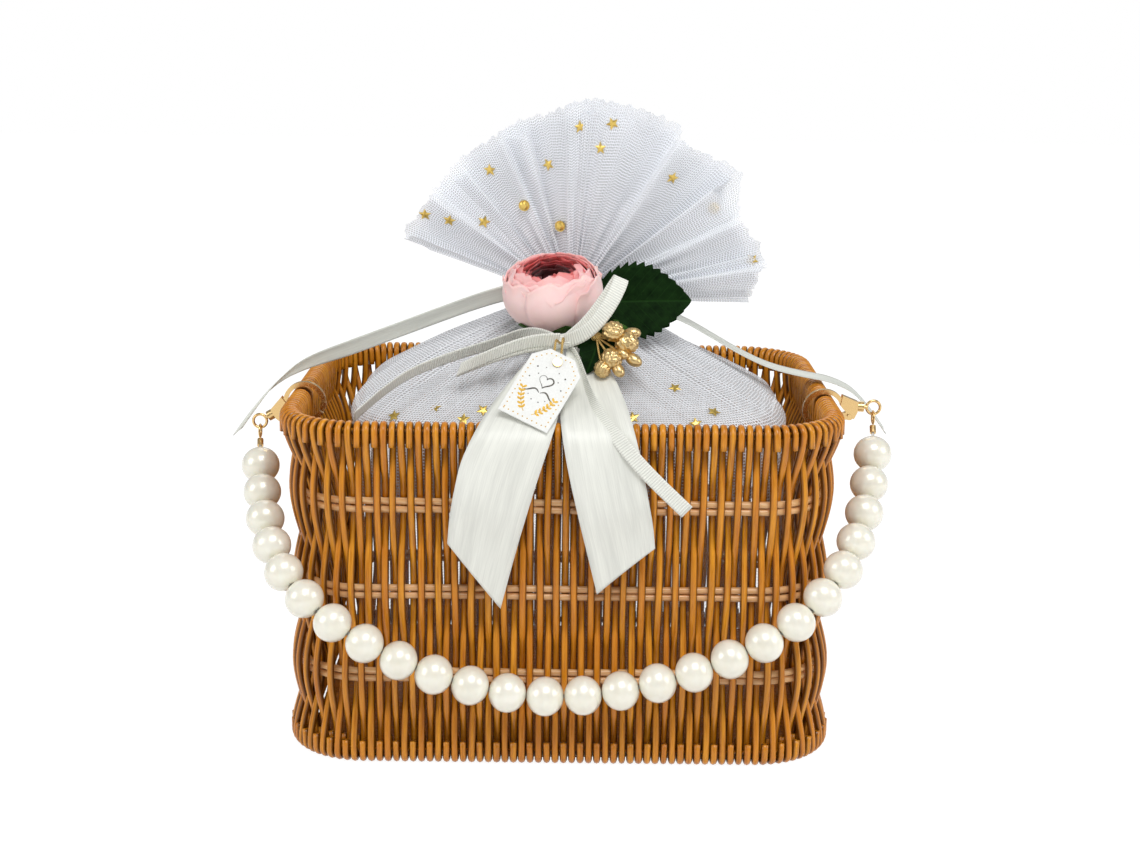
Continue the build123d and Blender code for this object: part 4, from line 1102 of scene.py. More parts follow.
# %% Satin tails
satin_left, satin_width, satin_left_length = satin_tail(
    "satin_tail_left_draped",
    hang([
        (-8, 153), (-17, 144), (-25.0, 136), (-31, 128),
        (-35.4, 118.5), (-37.8, 108.5), (-39.6, 98), (-40.5, 88),
    ]),
    hang([
        (0.6, 153), (0.2, 144), (-0.4, 136), (-3.2, 127.5),
        (-7.6, 114.5), (-12.2, 99), (-17, 81), (-21.5, 63),
    ]),
    ["satin_tail_left"], 0.5,
)  # fmt: skip
satin_right, _, satin_right_length = satin_tail(
    "satin_tail_right_draped",
    hang([
        (1.6, 153), (0.4, 144), (-0.6, 136), (0.2, 128),
        (2.6, 115), (6.4, 98), (10.2, 82), (13.3, 69),
    ], 0.2),
    hang([
        (10.5, 153), (17.5, 145), (22.6, 137), (26.0, 128.5),
        (28.8, 117), (31.2, 105), (33, 95), (33.9, 87),
    ], 0.2),
    ["satin_tail_right"], -0.6,
)  # fmt: skip

# %% [markdown]
# The narrow bow is grosgrain.  A loop is a strip that leaves the knot, turns at the tip and comes
# back behind itself; the tails are plain strips.  The knot is a short band wrapped round them.


# %% Narrow ribbon helper
def narrow_band(
    name, controls, across, half, finish, covers, thickness, columns=7, crown=0.0
):  # fmt: skip
    """A narrow ribbon round a spline: point = centre + s * half * side + crown (1 - s^2) * normal.

    The side direction, across, runs smoothly from control to control; half is half the width and
    s goes from -1 to 1.
    """
    controls = np.asarray(controls, float) * mm
    centre = spline_points(controls)
    across = unit(np.asarray(across, float) + np.zeros((len(controls), 3)))
    knots = walked(controls) / walked(controls)[-1]
    place = walked(centre) / walked(centre)[-1]
    side = unit(through(knots, across, place))
    half_width = np.interp(place, knots, np.asarray(half, float) + np.zeros(len(controls))) * mm
    tangent = unit(np.gradient(centre, axis=0))
    normal = unit(np.cross(tangent, side))
    s = np.linspace(-1, 1, columns)[None, :, None]
    raised = crown * mm * (1 - s**2) * normal[:, None]
    grid = centre[:, None] + s * (side * half_width[:, None])[:, None] + raised
    far = walked(centre)
    width = float(2 * half_width.max())
    surface = lattice(grid, u=far, v=np.linspace(0, width, columns))
    piece = make_piece(name, surface, finish, "pouch", covers)
    thicken(piece, thickness * mm)


# %% Bow loops and knot
bow_spot = np.array([-0.6, -47.0, 155.2])
loop_half = 2.85
ribbon_thick = 0.3
left_path = np.array([
    (-1.4, -50.6, 156.2), (-8, -52.0, 156.4), (-15, -53.4, 155.2), (-23, -54.4, 152.4),
    (-31, -54.2, 148.8), (-37.4, -52.6, 145.6), (-38.6, -50.4, 144.4), (-35.6, -48.8, 145.2),
    (-26, -48.4, 149.4), (-15, -48.0, 153.0), (-6, -47.8, 154.6), (-1.4, -48.0, 154.8),
])  # fmt: skip
loop_across = np.array([(0.16, -0.30, 0.94)] * 5 + [(0.34, -0.1, 0.93)] * 3 + [(0.26, 0.12, 0.95)] * 4)
narrow_band(
    "bow_loop_left_band", left_path, loop_across, loop_half, grosgrain, ["bow_loop_left"],
    ribbon_thick,
)  # fmt: skip

right_path = np.array([
    (0.4, -50.4, 155.6), (5, -51.8, 157.2), (10, -52.4, 160.6), (14.4, -51.8, 165.6),
    (18.0, -50.2, 171.2), (20.6, -47.8, 176.6), (21.4, -45.4, 179.2), (20.2, -43.6, 177.2),
    (16, -43.8, 170.4), (11.0, -44.8, 163.6), (5.5, -46.4, 158.2), (0.6, -47.8, 155.4),
])  # fmt: skip
right_across = np.array([
    (0.1, -0.2, 0.97), (-0.25, -0.2, 0.95), (-0.5, -0.2, 0.84), (-0.72, -0.15, 0.67),
    (-0.84, -0.1, 0.53), (-0.90, 0.0, 0.42), (-0.92, 0.1, 0.38), (-0.88, 0.15, 0.45),
    (-0.82, 0.15, 0.55), (-0.6, 0.15, 0.78), (-0.3, 0.15, 0.94), (0.1, 0.15, 0.98),
])  # fmt: skip
narrow_band(
    "bow_loop_right_band", right_path, right_across, loop_half, grosgrain, ["bow_loop_right"],
    ribbon_thick,
)  # fmt: skip

knot_turn = np.linspace(0.15, 2 * np.pi, 15)
knot_y = -3.7 * np.sin(knot_turn + 0.4) - 0.4
knot_path = bow_spot + np.stack([0.3 * np.sin(2 * knot_turn), knot_y, 3.0 * np.cos(knot_turn + 0.4)], 1)
narrow_band(
    "bow_knot_band", knot_path, (1, 0, 0.06), 2.9, grosgrain, ["bow_knot"], 0.45,
    columns=9, crown=-0.5,
)  # fmt: skip

# %% Bow tails
right_tail = np.array([
    (1.6, 154.4), (4.4, 151.6), (7.4, 146.0), (9.4, 139.4), (14.2, 132.6),
    (20.0, 127.0), (26.6, 119.4), (34.6, 111.6), (44.6, 102.4),
])  # fmt: skip
tail_y = drape_y(right_tail[:, 1]) - np.array([1.6, 2.0, 2.0, 1.8, 1.9, 2.0, 2.2, 2.8, 3.6])
tail_middle = np.stack([right_tail[:, 0], tail_y, right_tail[:, 1]], 1)
tail_across = np.array([
    (0.55, -0.8, 0.1), (0.35, -0.9, 0.2), (0.2, -0.9, 0.3), (0.5, -0.75, 0.45), (0.75, -0.45, 0.5),
    (0.8, -0.2, 0.56), (0.74, -0.05, 0.66), (0.7, 0, 0.71), (0.68, 0, 0.73),
])  # fmt: skip
narrow_band(
    "bow_tail_right_band", tail_middle, tail_across, 2.7, grosgrain, ["bow_tail_right"], ribbon_thick
)
left_tail = np.array([
    (-2.6, -48.2, 155.6), (-8, -43.4, 157.4), (-15.5, -39.0, 156.6), (-25, -40.2, 152.9),
    (-36, -42.0, 149.7), (-47, -45.6, 146.4), (-57, -49.0, 142.6), (-66, -52.6, 136.6),
    (-72, -56.0, 131.8), (-76, -60.4, 128.6),
])  # fmt: skip
narrow_band(
    "bow_tail_left_band", left_tail, (0.2, -0.5, 0.84), 2.75, grosgrain, ["bow_tail_left"], ribbon_thick
)

# %% [markdown]
# The pouch's two pull ends are satin, eight to nine millimetres wide.  One lies face-on along the
# left side and falls over the end of the basket, the other runs edge-on to the right.

# %% Pull ribbons
pull_left = np.array([
    (-6.0, -9.0, 168.2), (-18, -10.5, 168.4), (-31, -12, 164.8), (-43, -13.5, 160.6),
    (-63, -14, 153.0), (-82, -13.5, 145.6), (-102, -12, 138.4), (-112, -11, 131.0),
    (-120.5, -10.5, 121.5), (-128.2, -10, 110.5),
])  # fmt: skip
pull_left_across = np.array(
    [(0.3, -0.25, 0.92)] * 6
    + [(0.45, -0.25, 0.85), (0.62, -0.2, 0.75), (0.72, -0.15, 0.67), (0.76, -0.1, 0.64)]
)
pull_left_half = [3.9] * 6 + [3.6, 3.2, 3.0, 2.6]
narrow_band(
    "pull_ribbon_left_band", pull_left, pull_left_across, pull_left_half, pull_satin,
    ["pull_ribbon_left"], ribbon_thick, columns=9, crown=0.3,
)  # fmt: skip
pull_right = np.array([
    (13.4, 1.2, 161.8), (30, 1.2, 161.0), (46, 1.2, 156.4), (58, 1.0, 149.6), (70, 0.8, 142.6),
    (82, 0.8, 137.0), (95, 1.0, 133.9), (107.5, 1.0, 131.9), (119, 1.0, 125.6), (129.0, 1.0, 111.2),
])  # fmt: skip
narrow_band(
    "pull_ribbon_right_band", pull_right, (0.02, 1, 0.1), 4.3, pull_satin,
    ["pull_ribbon_right"], ribbon_thick, columns=9, crown=-0.35,
)  # fmt: skip

# %% [markdown]
# ## Small trims on the net
# Star sequins and gilt studs are sewn to the net.  Each is set down where the cloth really is:
# the points of the net near its spot give a middle and a normal, and the trim is lifted until it
# clears the tops of the pleats.


# %% Perching on cloth
def perch(cloth, x, z, near):
    """Middle and axes of a patch of cloth round (x, z) seen from the front, in metres.

    The normal is the least direction of the patch's spread; the lift clears all but its top fifth.
    """
    points = cloth.reshape(-1, 3)
    points = points[points[:, 1] < 0]
    gap = np.hypot(points[:, 0] - x, points[:, 2] - z)
    patch = points[gap < max(near, np.partition(gap, 12)[12])]
    # where panels overlap, only the frontmost one carries the trim
    patch = patch[patch[:, 1] < patch[:, 1].min() + 2.2 * mm]
    middle = patch.mean(0)
    _, _, axes = np.linalg.svd(patch - middle)
    normal = axes[2] * (-1 if axes[2][1] > 0 else 1)
    flat = unit(np.cross(normal, np.array([0.0, 0.0, 1.0])))
    lift = ((patch - middle) @ normal).max()
    spot = np.array([x, middle[1], z])
    spot[1] = middle[1] - ((spot - middle)[[0, 2]] @ normal[[0, 2]]) / normal[1]
    return spot + normal * (lift * 0.8 + 0.15 * mm), flat, np.cross(normal, flat), normal


def star_disc(place, radius, turn):
    """A five-pointed star cut from foil and slightly domed: radius swings between tip and notch."""
    spot, e1, e2, normal = place
    a = np.linspace(0, 2 * np.pi, 10, endpoint=False) + turn
    tip = np.where(np.arange(10) % 2 == 0, 1.0, 0.46) * radius
    rings = [(0.0, 0.32), (0.5, 0.27), (1.0, 0.12), (1.0, 0.0), (0.0, 0.0)]
    around = np.cos(a)[:, None] * e1 + np.sin(a)[:, None] * e2
    rows = [spot + (share * tip)[:, None] * around + normal * lift * mm for share, lift in rings]
    return lattice(np.stack(rows), close_columns=True)


def stud_cap(place, radius):
    """A faceted stone in a gilt cup: a twelve-sided profile of revolution."""
    spot, e1, e2, normal = place
    a = np.linspace(0, 2 * np.pi, 12, endpoint=False)
    profile = np.array([
        (0, 1.7), (0.45, 1.65), (0.78, 1.15), (0.84, 0.9),
        (0.98, 0.95), (1.0, 0.6), (0.94, 0.0), (0, 0),
    ])  # fmt: skip
    around = np.cos(a)[:, None] * e1 + np.sin(a)[:, None] * e2
    rows = [spot + radius * share * around + normal * lift * mm for share, lift in profile]
    return lattice(np.stack(rows), close_columns=True)


# %% Stars and studs
ruffle_front = ruffles[0]
# radius in millimetres and angle in degrees on the fan; x and height on the pouch
ruffle_stars = [
    (57, 146), (66, 149), (46, 138), (60, 122), (54, 100),
    (68, 88), (71, 78), (61, 80), (62, 52), (72, 14),
]  # fmt: skip
ruffle_studs = [(42, 116), (30, 98), (66, 34)]
pouch_stars = [(42, 137), (56, 130), (49, 127), (26, 129), (-47, 130.5), (-62, 127.5), (-29, 131), (-36, 128)]
star_rng = np.random.default_rng(8)


def on_fan(radius, angle):
    """A perch on the front ruffle."""
    turn = math.radians(angle)
    x = ruffle_centre[0] + radius * mm * math.cos(turn)
    z = ruffle_centre[2] + radius * mm * math.sin(turn)
    return perch(ruffle_front, x, z, 2.0 * mm)


places = [on_fan(*spot) for spot in ruffle_stars]
places += [perch(outer_grid, x * mm, z * mm, 2.6 * mm) for x, z in pouch_stars]
stars = joined(*[star_disc(place, 2.6 * mm, star_rng.uniform(0, 6)) for place in places])
make_piece("star_foils", stars, foil, "pouch", ["star_sequins"], closed=True, smooth=False)
studs = joined(*[stud_cap(on_fan(*spot), 2.2 * mm) for spot in ruffle_studs])
make_piece("gilt_studs", studs, foil, "pouch", ["rhinestones"], closed=True, smooth=False)

# %% [markdown]
# ## Hang tag
# A clipped card tag with printed ornament: a border of gold dots, a sprig on each side, a small
# heart, and two dark sweeps with a few dots.  The print is laid on as very thin strokes.

# %% Tag frame
tag_slope = math.radians(52)
tag_normal = np.array([0, -math.sin(tag_slope), math.cos(tag_slope)])
tag_rise = np.array([0, math.cos(tag_slope), math.sin(tag_slope)])
tag_spot = np.array([-1.8, -65.0895, 150.190]) * mm
tag_turn = math.radians(-28)


def on_tag(across, up, lift=0.0):
    """Points of the tag (mm from its brad, before its lean) as points in space."""
    across, up = np.broadcast_arrays(np.asarray(across, float), np.asarray(up, float))
    x = across * math.cos(tag_turn) - up * math.sin(tag_turn)
    y = across * math.sin(tag_turn) + up * math.cos(tag_turn)
    flat = x[..., None] * np.array([1.0, 0, 0]) + y[..., None] * tag_rise
    return tag_spot + mm * (flat + np.asarray(lift, float)[..., None] * tag_normal)


# %% Tag card
def tag_sheet():
    """The card: nested outlines from the edge to the middle, top face and back face in one shell."""
    outline = np.array([(-10, -26), (10, -26), (10, -1), (5, 4), (-5, 4), (-10, -1)], float)
    corners = []
    for here, following in zip(outline, np.roll(outline, -1, 0)):
        share = np.linspace(0, 1, 8, endpoint=False)[:, None]
        corners.append(here + share * (following - here))
    edge = np.concatenate(corners)
    middle = np.array([0.0, -11.0])
    rings = [
        (0.0, 0.6), (0.5, 0.6), (0.9, 0.6), (0.985, 0.6), (1.0, 0.52),
        (1.0, 0.08), (0.985, 0.0), (0.5, 0.0), (0.0, 0.0),
    ]  # fmt: skip
    rows = []
    for share, lift in rings:
        points = middle + share * (edge - middle)
        rows.append(on_tag(points[:, 0], points[:, 1], lift))
    return lattice(np.stack(rows), close_columns=True)


make_piece("tag_card_blank", tag_sheet(), tag_card, "tag", ["hang_tag"], closed=True, smooth=False)


# %% Tag ornament
ink_lift = 0.64  # millimetres, just above the card's face


def stroke(points, widths):
    """A flat pen stroke on the tag: two edges, offset from the line by half its width."""
    points = np.asarray(points, float)
    along = unit(np.gradient(points, axis=0))
    widths = np.asarray(widths, float) * np.ones(len(points))
    side = np.stack([-along[:, 1], along[:, 0]], 1) * widths[:, None] / 2
    edges = [on_tag(edge[:, 0], edge[:, 1], ink_lift) for edge in (points + side, points - side)]
    return lattice(np.stack(edges, 1))


def dot(x, y, radius):
    """A printed dot: a ring of ten points round its middle."""
    a = np.linspace(0, 2 * np.pi, 10, endpoint=False)
    rows = [on_tag(x + far * np.cos(a), y + far * np.sin(a), ink_lift) for far in (0.0, radius)]
    return lattice(np.stack(rows), close_columns=True)


t = np.linspace(0, 1, 60)
border = np.array([
    (-8.4, -24.4), (8.4, -24.4), (8.4, -1.8), (4.2, 2.4), (-4.2, 2.4), (-8.4, -1.8), (-8.4, -24.4),
])  # fmt: skip
border_far = walked(border)
spots = np.arange(0, border_far[-1], 1.9)
border_x, border_y = (np.interp(spots, border_far, border[:, k]) for k in range(2))
gold_marks = [dot(x, y, 0.26) for x, y in zip(border_x, border_y)]
for side in (-1, 1):
    stem = np.stack([side * (1.6 + 4.9 * np.sin(1.35 * t)), -22.4 + 8.6 * t**1.2], 1)
    gold_marks.append(stroke(stem, 0.26))
    for share in (0.16, 0.32, 0.48, 0.64, 0.80, 0.96):
        here = int(share * 59)
        base, ahead = stem[here], unit(stem[min(here + 1, 59)] - stem[here - 1])
        for lean in (1.0, -1.0):
            tip = base + 1.25 * ahead + lean * 1.35 * np.array([-ahead[1], ahead[0]])
            leaf_line = base + t[::6, None] * (tip - base)
            gold_marks.append(stroke(leaf_line, 0.85 * np.sin(np.pi * np.clip(t[::6], 0.03, 0.97)) ** 0.8))
make_piece("tag_gold_print", joined(*gold_marks), gold_ink, "tag", [], smooth=False)

dark_marks = []
w = t * 2 * np.pi
heart_x = 16 * np.sin(w) ** 3
heart_y = 13 * np.cos(w) - 5 * np.cos(2 * w) - 2 * np.cos(3 * w) - np.cos(4 * w)
heart = np.stack([heart_x, heart_y], 1) * 0.17
dark_marks.append(stroke(heart + [0, -8.6], 0.36 + 0.2 * np.sin(w)))
small_dots = [
    (5.6, -4.4, 0.34), (4.0, -6.8, 0.24), (6.4, -9.2, 0.28),
    (2.6, -3.4, 0.22), (1.4, -17.0, 0.26), (3.4, -15.6, 0.2),
]  # fmt: skip
for side in (-1, 1):
    sweep = np.stack([side * (0.2 + 5.6 * t), -13.6 + 1.0 * np.sin(1.6 * np.pi * t)], 1)
    dark_marks.append(stroke(sweep, 0.2 + 0.42 * np.sin(np.pi * t)))
    dark_marks += [dot(side * across, up, radius) for across, up, radius in small_dots]
make_piece("tag_dark_print", joined(*dark_marks), dark_ink, "tag", [], smooth=False)

# %% [markdown]
# The tag hangs on a short loop of gilt cord from the bow's knot to the brad.

# %% Brad and loop of cord
brad_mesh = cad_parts["tag_brad"].data
brad_mesh.materials.clear()
brad_mesh.materials.append(gilt)
knot_front = bow_spot + np.array([0.2, -4.4, 0.2])
brad_back = (tag_spot - tag_normal * 1.35 * mm) / mm
loop_corners = np.array([
    knot_front + (0.6, 0.3, 0.3), knot_front + (0.8, -2.4, 1.6), knot_front + (0.4, -7.5, 3.4),
    brad_back + (1.2, 3.0, 1.6), brad_back + (0.9, 0.2, 0.0), brad_back + (-0.9, -0.2, 0.0),
    brad_back + (-1.4, 3.0, 1.4), knot_front + (-2.2, -7.0, 2.6), knot_front + (-1.4, -2.2, 0.8),
    knot_front + (-0.6, 0.3, -0.2),
]) * mm  # fmt: skip
loop_route = spline_points(loop_corners)
loop_tube = tube(loop_route, 0.45 * mm, 8, (0.35, 0.1, 0.93))
loop_cord = make_piece("tag_cord_loop", loop_tube, gilt_cord, "pouch", ["tag_cord"], closed=True)

# %% [markdown]
# ## Silk flower
# The flower is a ranunculus: a ball of many cupped petals that close over each other and leave a
# dark opening at the top.  A petal is a patch of an ellipsoid, in polar angle from the tip and
# turn about the axis.  Its lip rolls outwards a little and is ragged, and each petal spirals, so
# one side lies over its neighbour and the other under.

# %% Petals
flower_axis = unit(np.array([-0.07, -0.25, 0.96]))
flower_side = unit(np.cross(flower_axis, np.array([0.0, 0.0, 1.0])))
flower_lift = np.cross(flower_side, flower_axis)
flower_middle = np.array([-4.0, -27.0, 170.2]) * mm


def petal_layer(count, scale, lip, half_turn, first, tone_low, tone_high, seed):
    """Petals of one layer: radius = scale * (ellipsoid + ripple + roll at the lip)."""
    rng = np.random.default_rng(seed)
    foot, flare = math.radians(168), 0.07
    parts, tones = [], []
    v = np.linspace(0, 1, 26)[:, None]
    s = np.linspace(-1, 1, 25)[None]
    for number in range(count):
        middle = first + 2 * np.pi * number / count + rng.normal(0, 0.09)
        phases = rng.uniform(0, 2 * np.pi, 5)
        open_at = math.radians(lip + rng.normal(0, 3.0))
        ragged = 0.05 * np.sin(5 * s + phases[0]) + 0.035 * np.sin(11 * s + phases[1])
        ragged = ragged + 0.02 * np.sin(19 * s + phases[2])
        notch = open_at + ragged + 0.30 * np.abs(s) ** 3
        polar = foot + v * (notch - foot)
        spread_of = half_turn * (0.55 + 0.45 * np.sin(np.pi * np.clip(v, 0, 1) * 0.62))
        turn = middle + s * spread_of + 0.05 * np.sin(4 * v + phases[3])
        along = 14.6 * np.cos(polar)
        out = 18.8 * np.sin(polar)
        roll = np.clip((v - 0.86) / 0.14, 0, 1) ** 2
        wavy = 0.012 * np.sin(3 * turn + phases[4]) * v
        frill = 0.014 * np.sin(9 * s + phases[0]) * v**3
        swell = scale * (1 + 0.022 * s + wavy + flare * roll + frill)
        around = np.cos(turn)[..., None] * flower_side + np.sin(turn)[..., None] * flower_lift
        upright = (along * swell)[..., None] * flower_axis
        grid = flower_middle + mm * (upright + (out * swell)[..., None] * around)
        parts.append(lattice(grid, u=walked(grid[:, 12]), v=walked(grid[16])))
        shade = tone_low + (tone_high - tone_low) * np.clip((v - 0.72) / 0.28, 0, 1) ** 1.4 + 0 * s
        tones.append(shade.ravel())
    return joined(*parts), np.concatenate(tones)


def petal_piece(name, layers, covers):
    """Several layers as one piece with one tone attribute."""
    made = [petal_layer(*layer) for layer in layers]
    surface = joined(*[part for part, _ in made])
    tone = np.concatenate([shade for _, shade in made])
    piece = make_piece(name, surface, pink_silk, "pouch", covers, tone=tone)
    return thicken(piece, 0.22 * mm)


# each row: petals, scale, angle of the lip, half turn, first turn, tone low, tone high, seed
petal_piece("petals_outer", [
    (5, 1.0, 58, 0.95, 0.35, 0.0, 0.06, 61),
    (5, 0.955, 49, 0.95, 0.95, 0.0, 0.10, 62),
    (6, 0.91, 42, 0.82, 0.1, 0.03, 0.22, 63),
], ["flower_outer_petals"])  # fmt: skip
petal_piece("petals_middle", [
    (5, 0.86, 38, 0.95, 0.5, 0.12, 0.40, 64),
    (5, 0.80, 35, 0.95, 1.1, 0.25, 0.50, 65),
], ["flower_middle_petals"])  # fmt: skip
petal_piece("petals_inner", [
    (5, 0.73, 34, 0.95, 0.2, 0.5, 0.62, 66),
    (4, 0.65, 34, 1.1, 0.8, 0.66, 0.78, 67),
    (4, 0.55, 36, 1.1, 0.3, 0.8, 0.9, 68),
], ["flower_inner_petals"])  # fmt: skip


# %% Heart, calyx and stems
def ball(middle, axis, along, out, bumps, depth, rows=28, columns=40):
    """Ellipsoid of revolution with even seed bumps: radius grows by the nearest bump's height."""
    axis = unit(np.asarray(axis, float))
    side = unit(np.cross(axis, np.array([0.31, 0.2, 0.93])))
    lift = np.cross(side, axis)
    polar = np.linspace(0, np.pi, rows)[:, None]
    turn = np.linspace(0, 2 * np.pi, columns, endpoint=False)[None]
    flat = [np.cos(polar) + 0 * turn, np.sin(polar) * np.cos(turn), np.sin(polar) * np.sin(turn)]
    flat = np.stack(flat, -1)
    grow = np.ones(flat.shape[:2])
    if bumps:
        k = np.arange(bumps) + 0.5
        seed_z = 1 - 2 * k / bumps
        seed_a = k * math.pi * (3 - math.sqrt(5))
        belt = np.sqrt(1 - seed_z**2)
        seeds = np.stack([seed_z, belt * np.cos(seed_a), belt * np.sin(seed_a)], 1)
        near = np.arccos(np.clip((flat @ seeds.T).max(-1), -1, 1))
        wide = 1.9 / math.sqrt(bumps)
        grow = 1 + depth * np.sqrt(np.clip(1 - (near / wide) ** 2, 0, 1))
    beside = flat[..., 1:2] * side + flat[..., 2:] * lift
    reach = along * flat[..., :1] * axis + out * beside
    grid = np.asarray(middle, float) + grow[..., None] * reach
    u, v = np.linspace(0, math.pi * out, rows), np.linspace(0, 2 * math.pi * out, columns + 1)
    return lattice(grid, close_columns=True, u=u, v=v)


heart_surface = ball(flower_middle - flower_axis * 4.0 * mm, flower_axis, 7.0 * mm, 6.8 * mm, 60, 0.09)
make_piece(
    "flower_heart", heart_surface, pink_silk, "pouch", ["flower_centre"],
    closed=True, tone=np.full(len(heart_surface[0]), 0.97),
)  # fmt: skip


def sepals():
    """Six pointed sepals under the ball: half width falls to nothing towards each tip."""
    parts = []
    v = np.linspace(0, 1, 12)[:, None]
    s = np.linspace(-1, 1, 7)[None]
    for number in range(6):
        polar = math.radians(178) - v * math.radians(62)
        wide = 0.52 * np.sin(np.pi * (0.35 + 0.65 * v)) ** 0.8
        turn = number * math.pi / 3 + s * wide / np.maximum(np.sin(polar), 0.35)
        around = np.cos(turn)[..., None] * flower_side + np.sin(turn)[..., None] * flower_lift
        along = (15.3 * np.cos(polar) + 0 * s)[..., None] * flower_axis
        out = (19.4 * np.sin(polar) + 0 * s)[..., None] * around
        u, across = np.linspace(0, 0.016, 12), np.linspace(-0.004, 0.004, 7)
        parts.append(lattice(flower_middle + mm * (along + out), u=u, v=across))
    return joined(*parts)


thicken(make_piece("flower_sepals", sepals(), light_leaf, "pouch", ["flower_calyx"]), 0.3 * mm)
calyx_foot = flower_middle - flower_axis * 14.2 * mm
stem_route = np.stack([calyx_foot, calyx_foot - flower_axis * 1.5 * mm, calyx_foot - flower_axis * 3.5 * mm])
stalk = tube(stem_route, 1.1 * mm, 12, (0.9, 0.1, 0.1))
make_piece("flower_stalk", stalk, stem_tape, "pouch", ["flower_stem"], closed=True)
bundle_ends = np.array([(3, -12.5, 160.5), (4.6, -40.9, 152.7)]) * mm
bundle_route = bundle_ends[0] + np.linspace(0, 1, 30)[:, None] * (bundle_ends[1] - bundle_ends[0])
bundle_radius = (2.1 + 0.12 * np.cos(np.linspace(0, 20 * np.pi, 30))) * mm
bundle = tube(bundle_route, bundle_radius, 20, (0.9, 0.1, 0.1))
make_piece("stem_bundle_taped", bundle, stem_tape, "pouch", ["stem_bundle"], closed=True)

# %% [markdown]
# ## Leaves
# A leaf blade is a strip again: half width follows half a sine along the leaf, the edge is cut
# into teeth that lean towards the tip, and the blade folds a little along its midrib and droops.


# %% Leaf blades
def leaf_blade(
    name, origin, angle, length, width, teeth, tilt, finish, covers, seed, droop=0.06, fold=0.16
):  # fmt: skip
    """Blade of a serrated leaf: out = s * w(t) * (1 - bite), height = fold |out| - droop + waves."""
    rng = np.random.default_rng(seed)
    turn, lean = math.radians(angle), math.radians(tilt)
    along = np.array([math.cos(turn), math.sin(turn) * math.sin(lean), math.sin(turn) * math.cos(lean)])
    normal = np.array([0, -math.cos(lean), math.sin(lean)])
    side = np.cross(normal, along)
    t = np.linspace(0, 1, teeth * 9 + 1)[:, None]
    s = np.linspace(-1, 1, 17)[None]
    saw = 1 - 0.13 * (1 - np.mod(t * teeth + 0.02, 1)) * np.abs(s) ** 4
    wide = width / 2 * np.sin(np.pi * t**0.85) ** 0.85 * saw
    out = s * wide
    ripple = 0.35 * np.sin(2 * np.pi * (t * 2.2 + rng.uniform(0, 1))) * s
    ripple = ripple + 0.25 * np.sin(2 * np.pi * (t * 3.4 + rng.uniform(0, 1))) * s**2
    rise = fold * np.abs(out) - droop * length * (t - 0.25) ** 2 * 2 + ripple
    ahead = t * length + 0.10 * np.abs(out)
    reach = ahead[..., None] * along + out[..., None] * side + rise[..., None] * normal
    surface = lattice((np.asarray(origin, float) + reach) * mm)
    uv = np.stack([(ahead * mm), (out * mm)], -1).reshape(-1, 2)
    surface = (surface[0], surface[1], uv[surface[1].ravel()])
    piece = make_piece(name, surface, finish, "pouch", covers)
    return thicken(piece, 0.35 * mm)


leaf_blade(
    "large_leaf_blade", (8.0, -21.5, 165.5), 2, 41, 31, 13, 14, leaf_silk, ["large_leaf"], 2,
    droop=0.10, fold=0.12,
)  # fmt: skip
leaf_blade("lower_leaf_blade", (17.0, -41.0, 164.0), -109, 25, 15, 9, 38, leaf_silk, ["lower_leaf"], 3)
leaf_blade("small_leaf_blade", (8.0, -43.0, 161.0), -14, 20, 9.0, 5, 30, light_leaf, ["small_leaf"], 4)

# %% [markdown]
# ## Gilt berries
# The berry sprig has two kinds of head on short wires: knobbly clusters of tiny beads, and
# smooth buds.  Both are balls; the clusters swell at evenly spread seed points.

# %% Berries and wires
berry_root = np.array([12.4, -47.4, 157.0])
# across, depth, height, size, knobbly or smooth
heads = [
    (18.4, -50.4, 159.6, 3.3, 1), (23.4, -50.6, 155.4, 3.6, 1), (18.0, -54.0, 150.2, 3.3, 1),
    (14.6, -55.4, 146.6, 2.7, 1), (25.4, -48.6, 158.6, 2.2, 0), (26.0, -53.4, 149.6, 2.3, 0),
    (20.4, -56.6, 146.4, 2.1, 0), (21.8, -53.2, 151.8, 1.9, 0),
]  # fmt: skip
berry_parts, wire_parts = [], []
for x, y, z, size, knobbly in heads:
    middle = np.array([x, y, z])
    reach = middle - berry_root
    stretch, bumps, rows, columns = (1.08, 46, 30, 44) if knobbly else (1.5, 0, 18, 24)
    berry_parts.append(ball(middle * mm, reach, size * stretch * mm, size * mm, bumps, 0.2, rows, columns))
    bend = berry_root + reach * 0.5 + np.array([-0.5, -0.4, 0.2])
    wire_ends = berry_root + unit(reach) * 0.6, middle - unit(reach) * size * 0.8
    wire_route = spline_points(np.stack([wire_ends[0], bend, wire_ends[1]]) * mm)
    wire_parts.append(tube(wire_route, 0.4 * mm, 8, (0.1, 0.9, 0.2)))
make_piece("berry_heads", joined(*berry_parts), berry_gilt, "pouch", ["gold_berries"], closed=True)
make_piece("berry_stalks", joined(*wire_parts), gilt_cord, "pouch", ["berry_wires"], closed=True)
wrap = ball(berry_root * mm, (1, 0, 0.3), 2.0 * mm, 1.5 * mm, 22, 0.1)
make_piece("berry_wrap", wrap, gilt_cord, "pouch", ["berry_tie"], closed=True)

# %% [markdown]
# ## Stage, light and camera
# The basket stands on a white floor under a white sky.  One broad soft light stands above and in
# front, and weaker ones fill in from both sides and from behind.

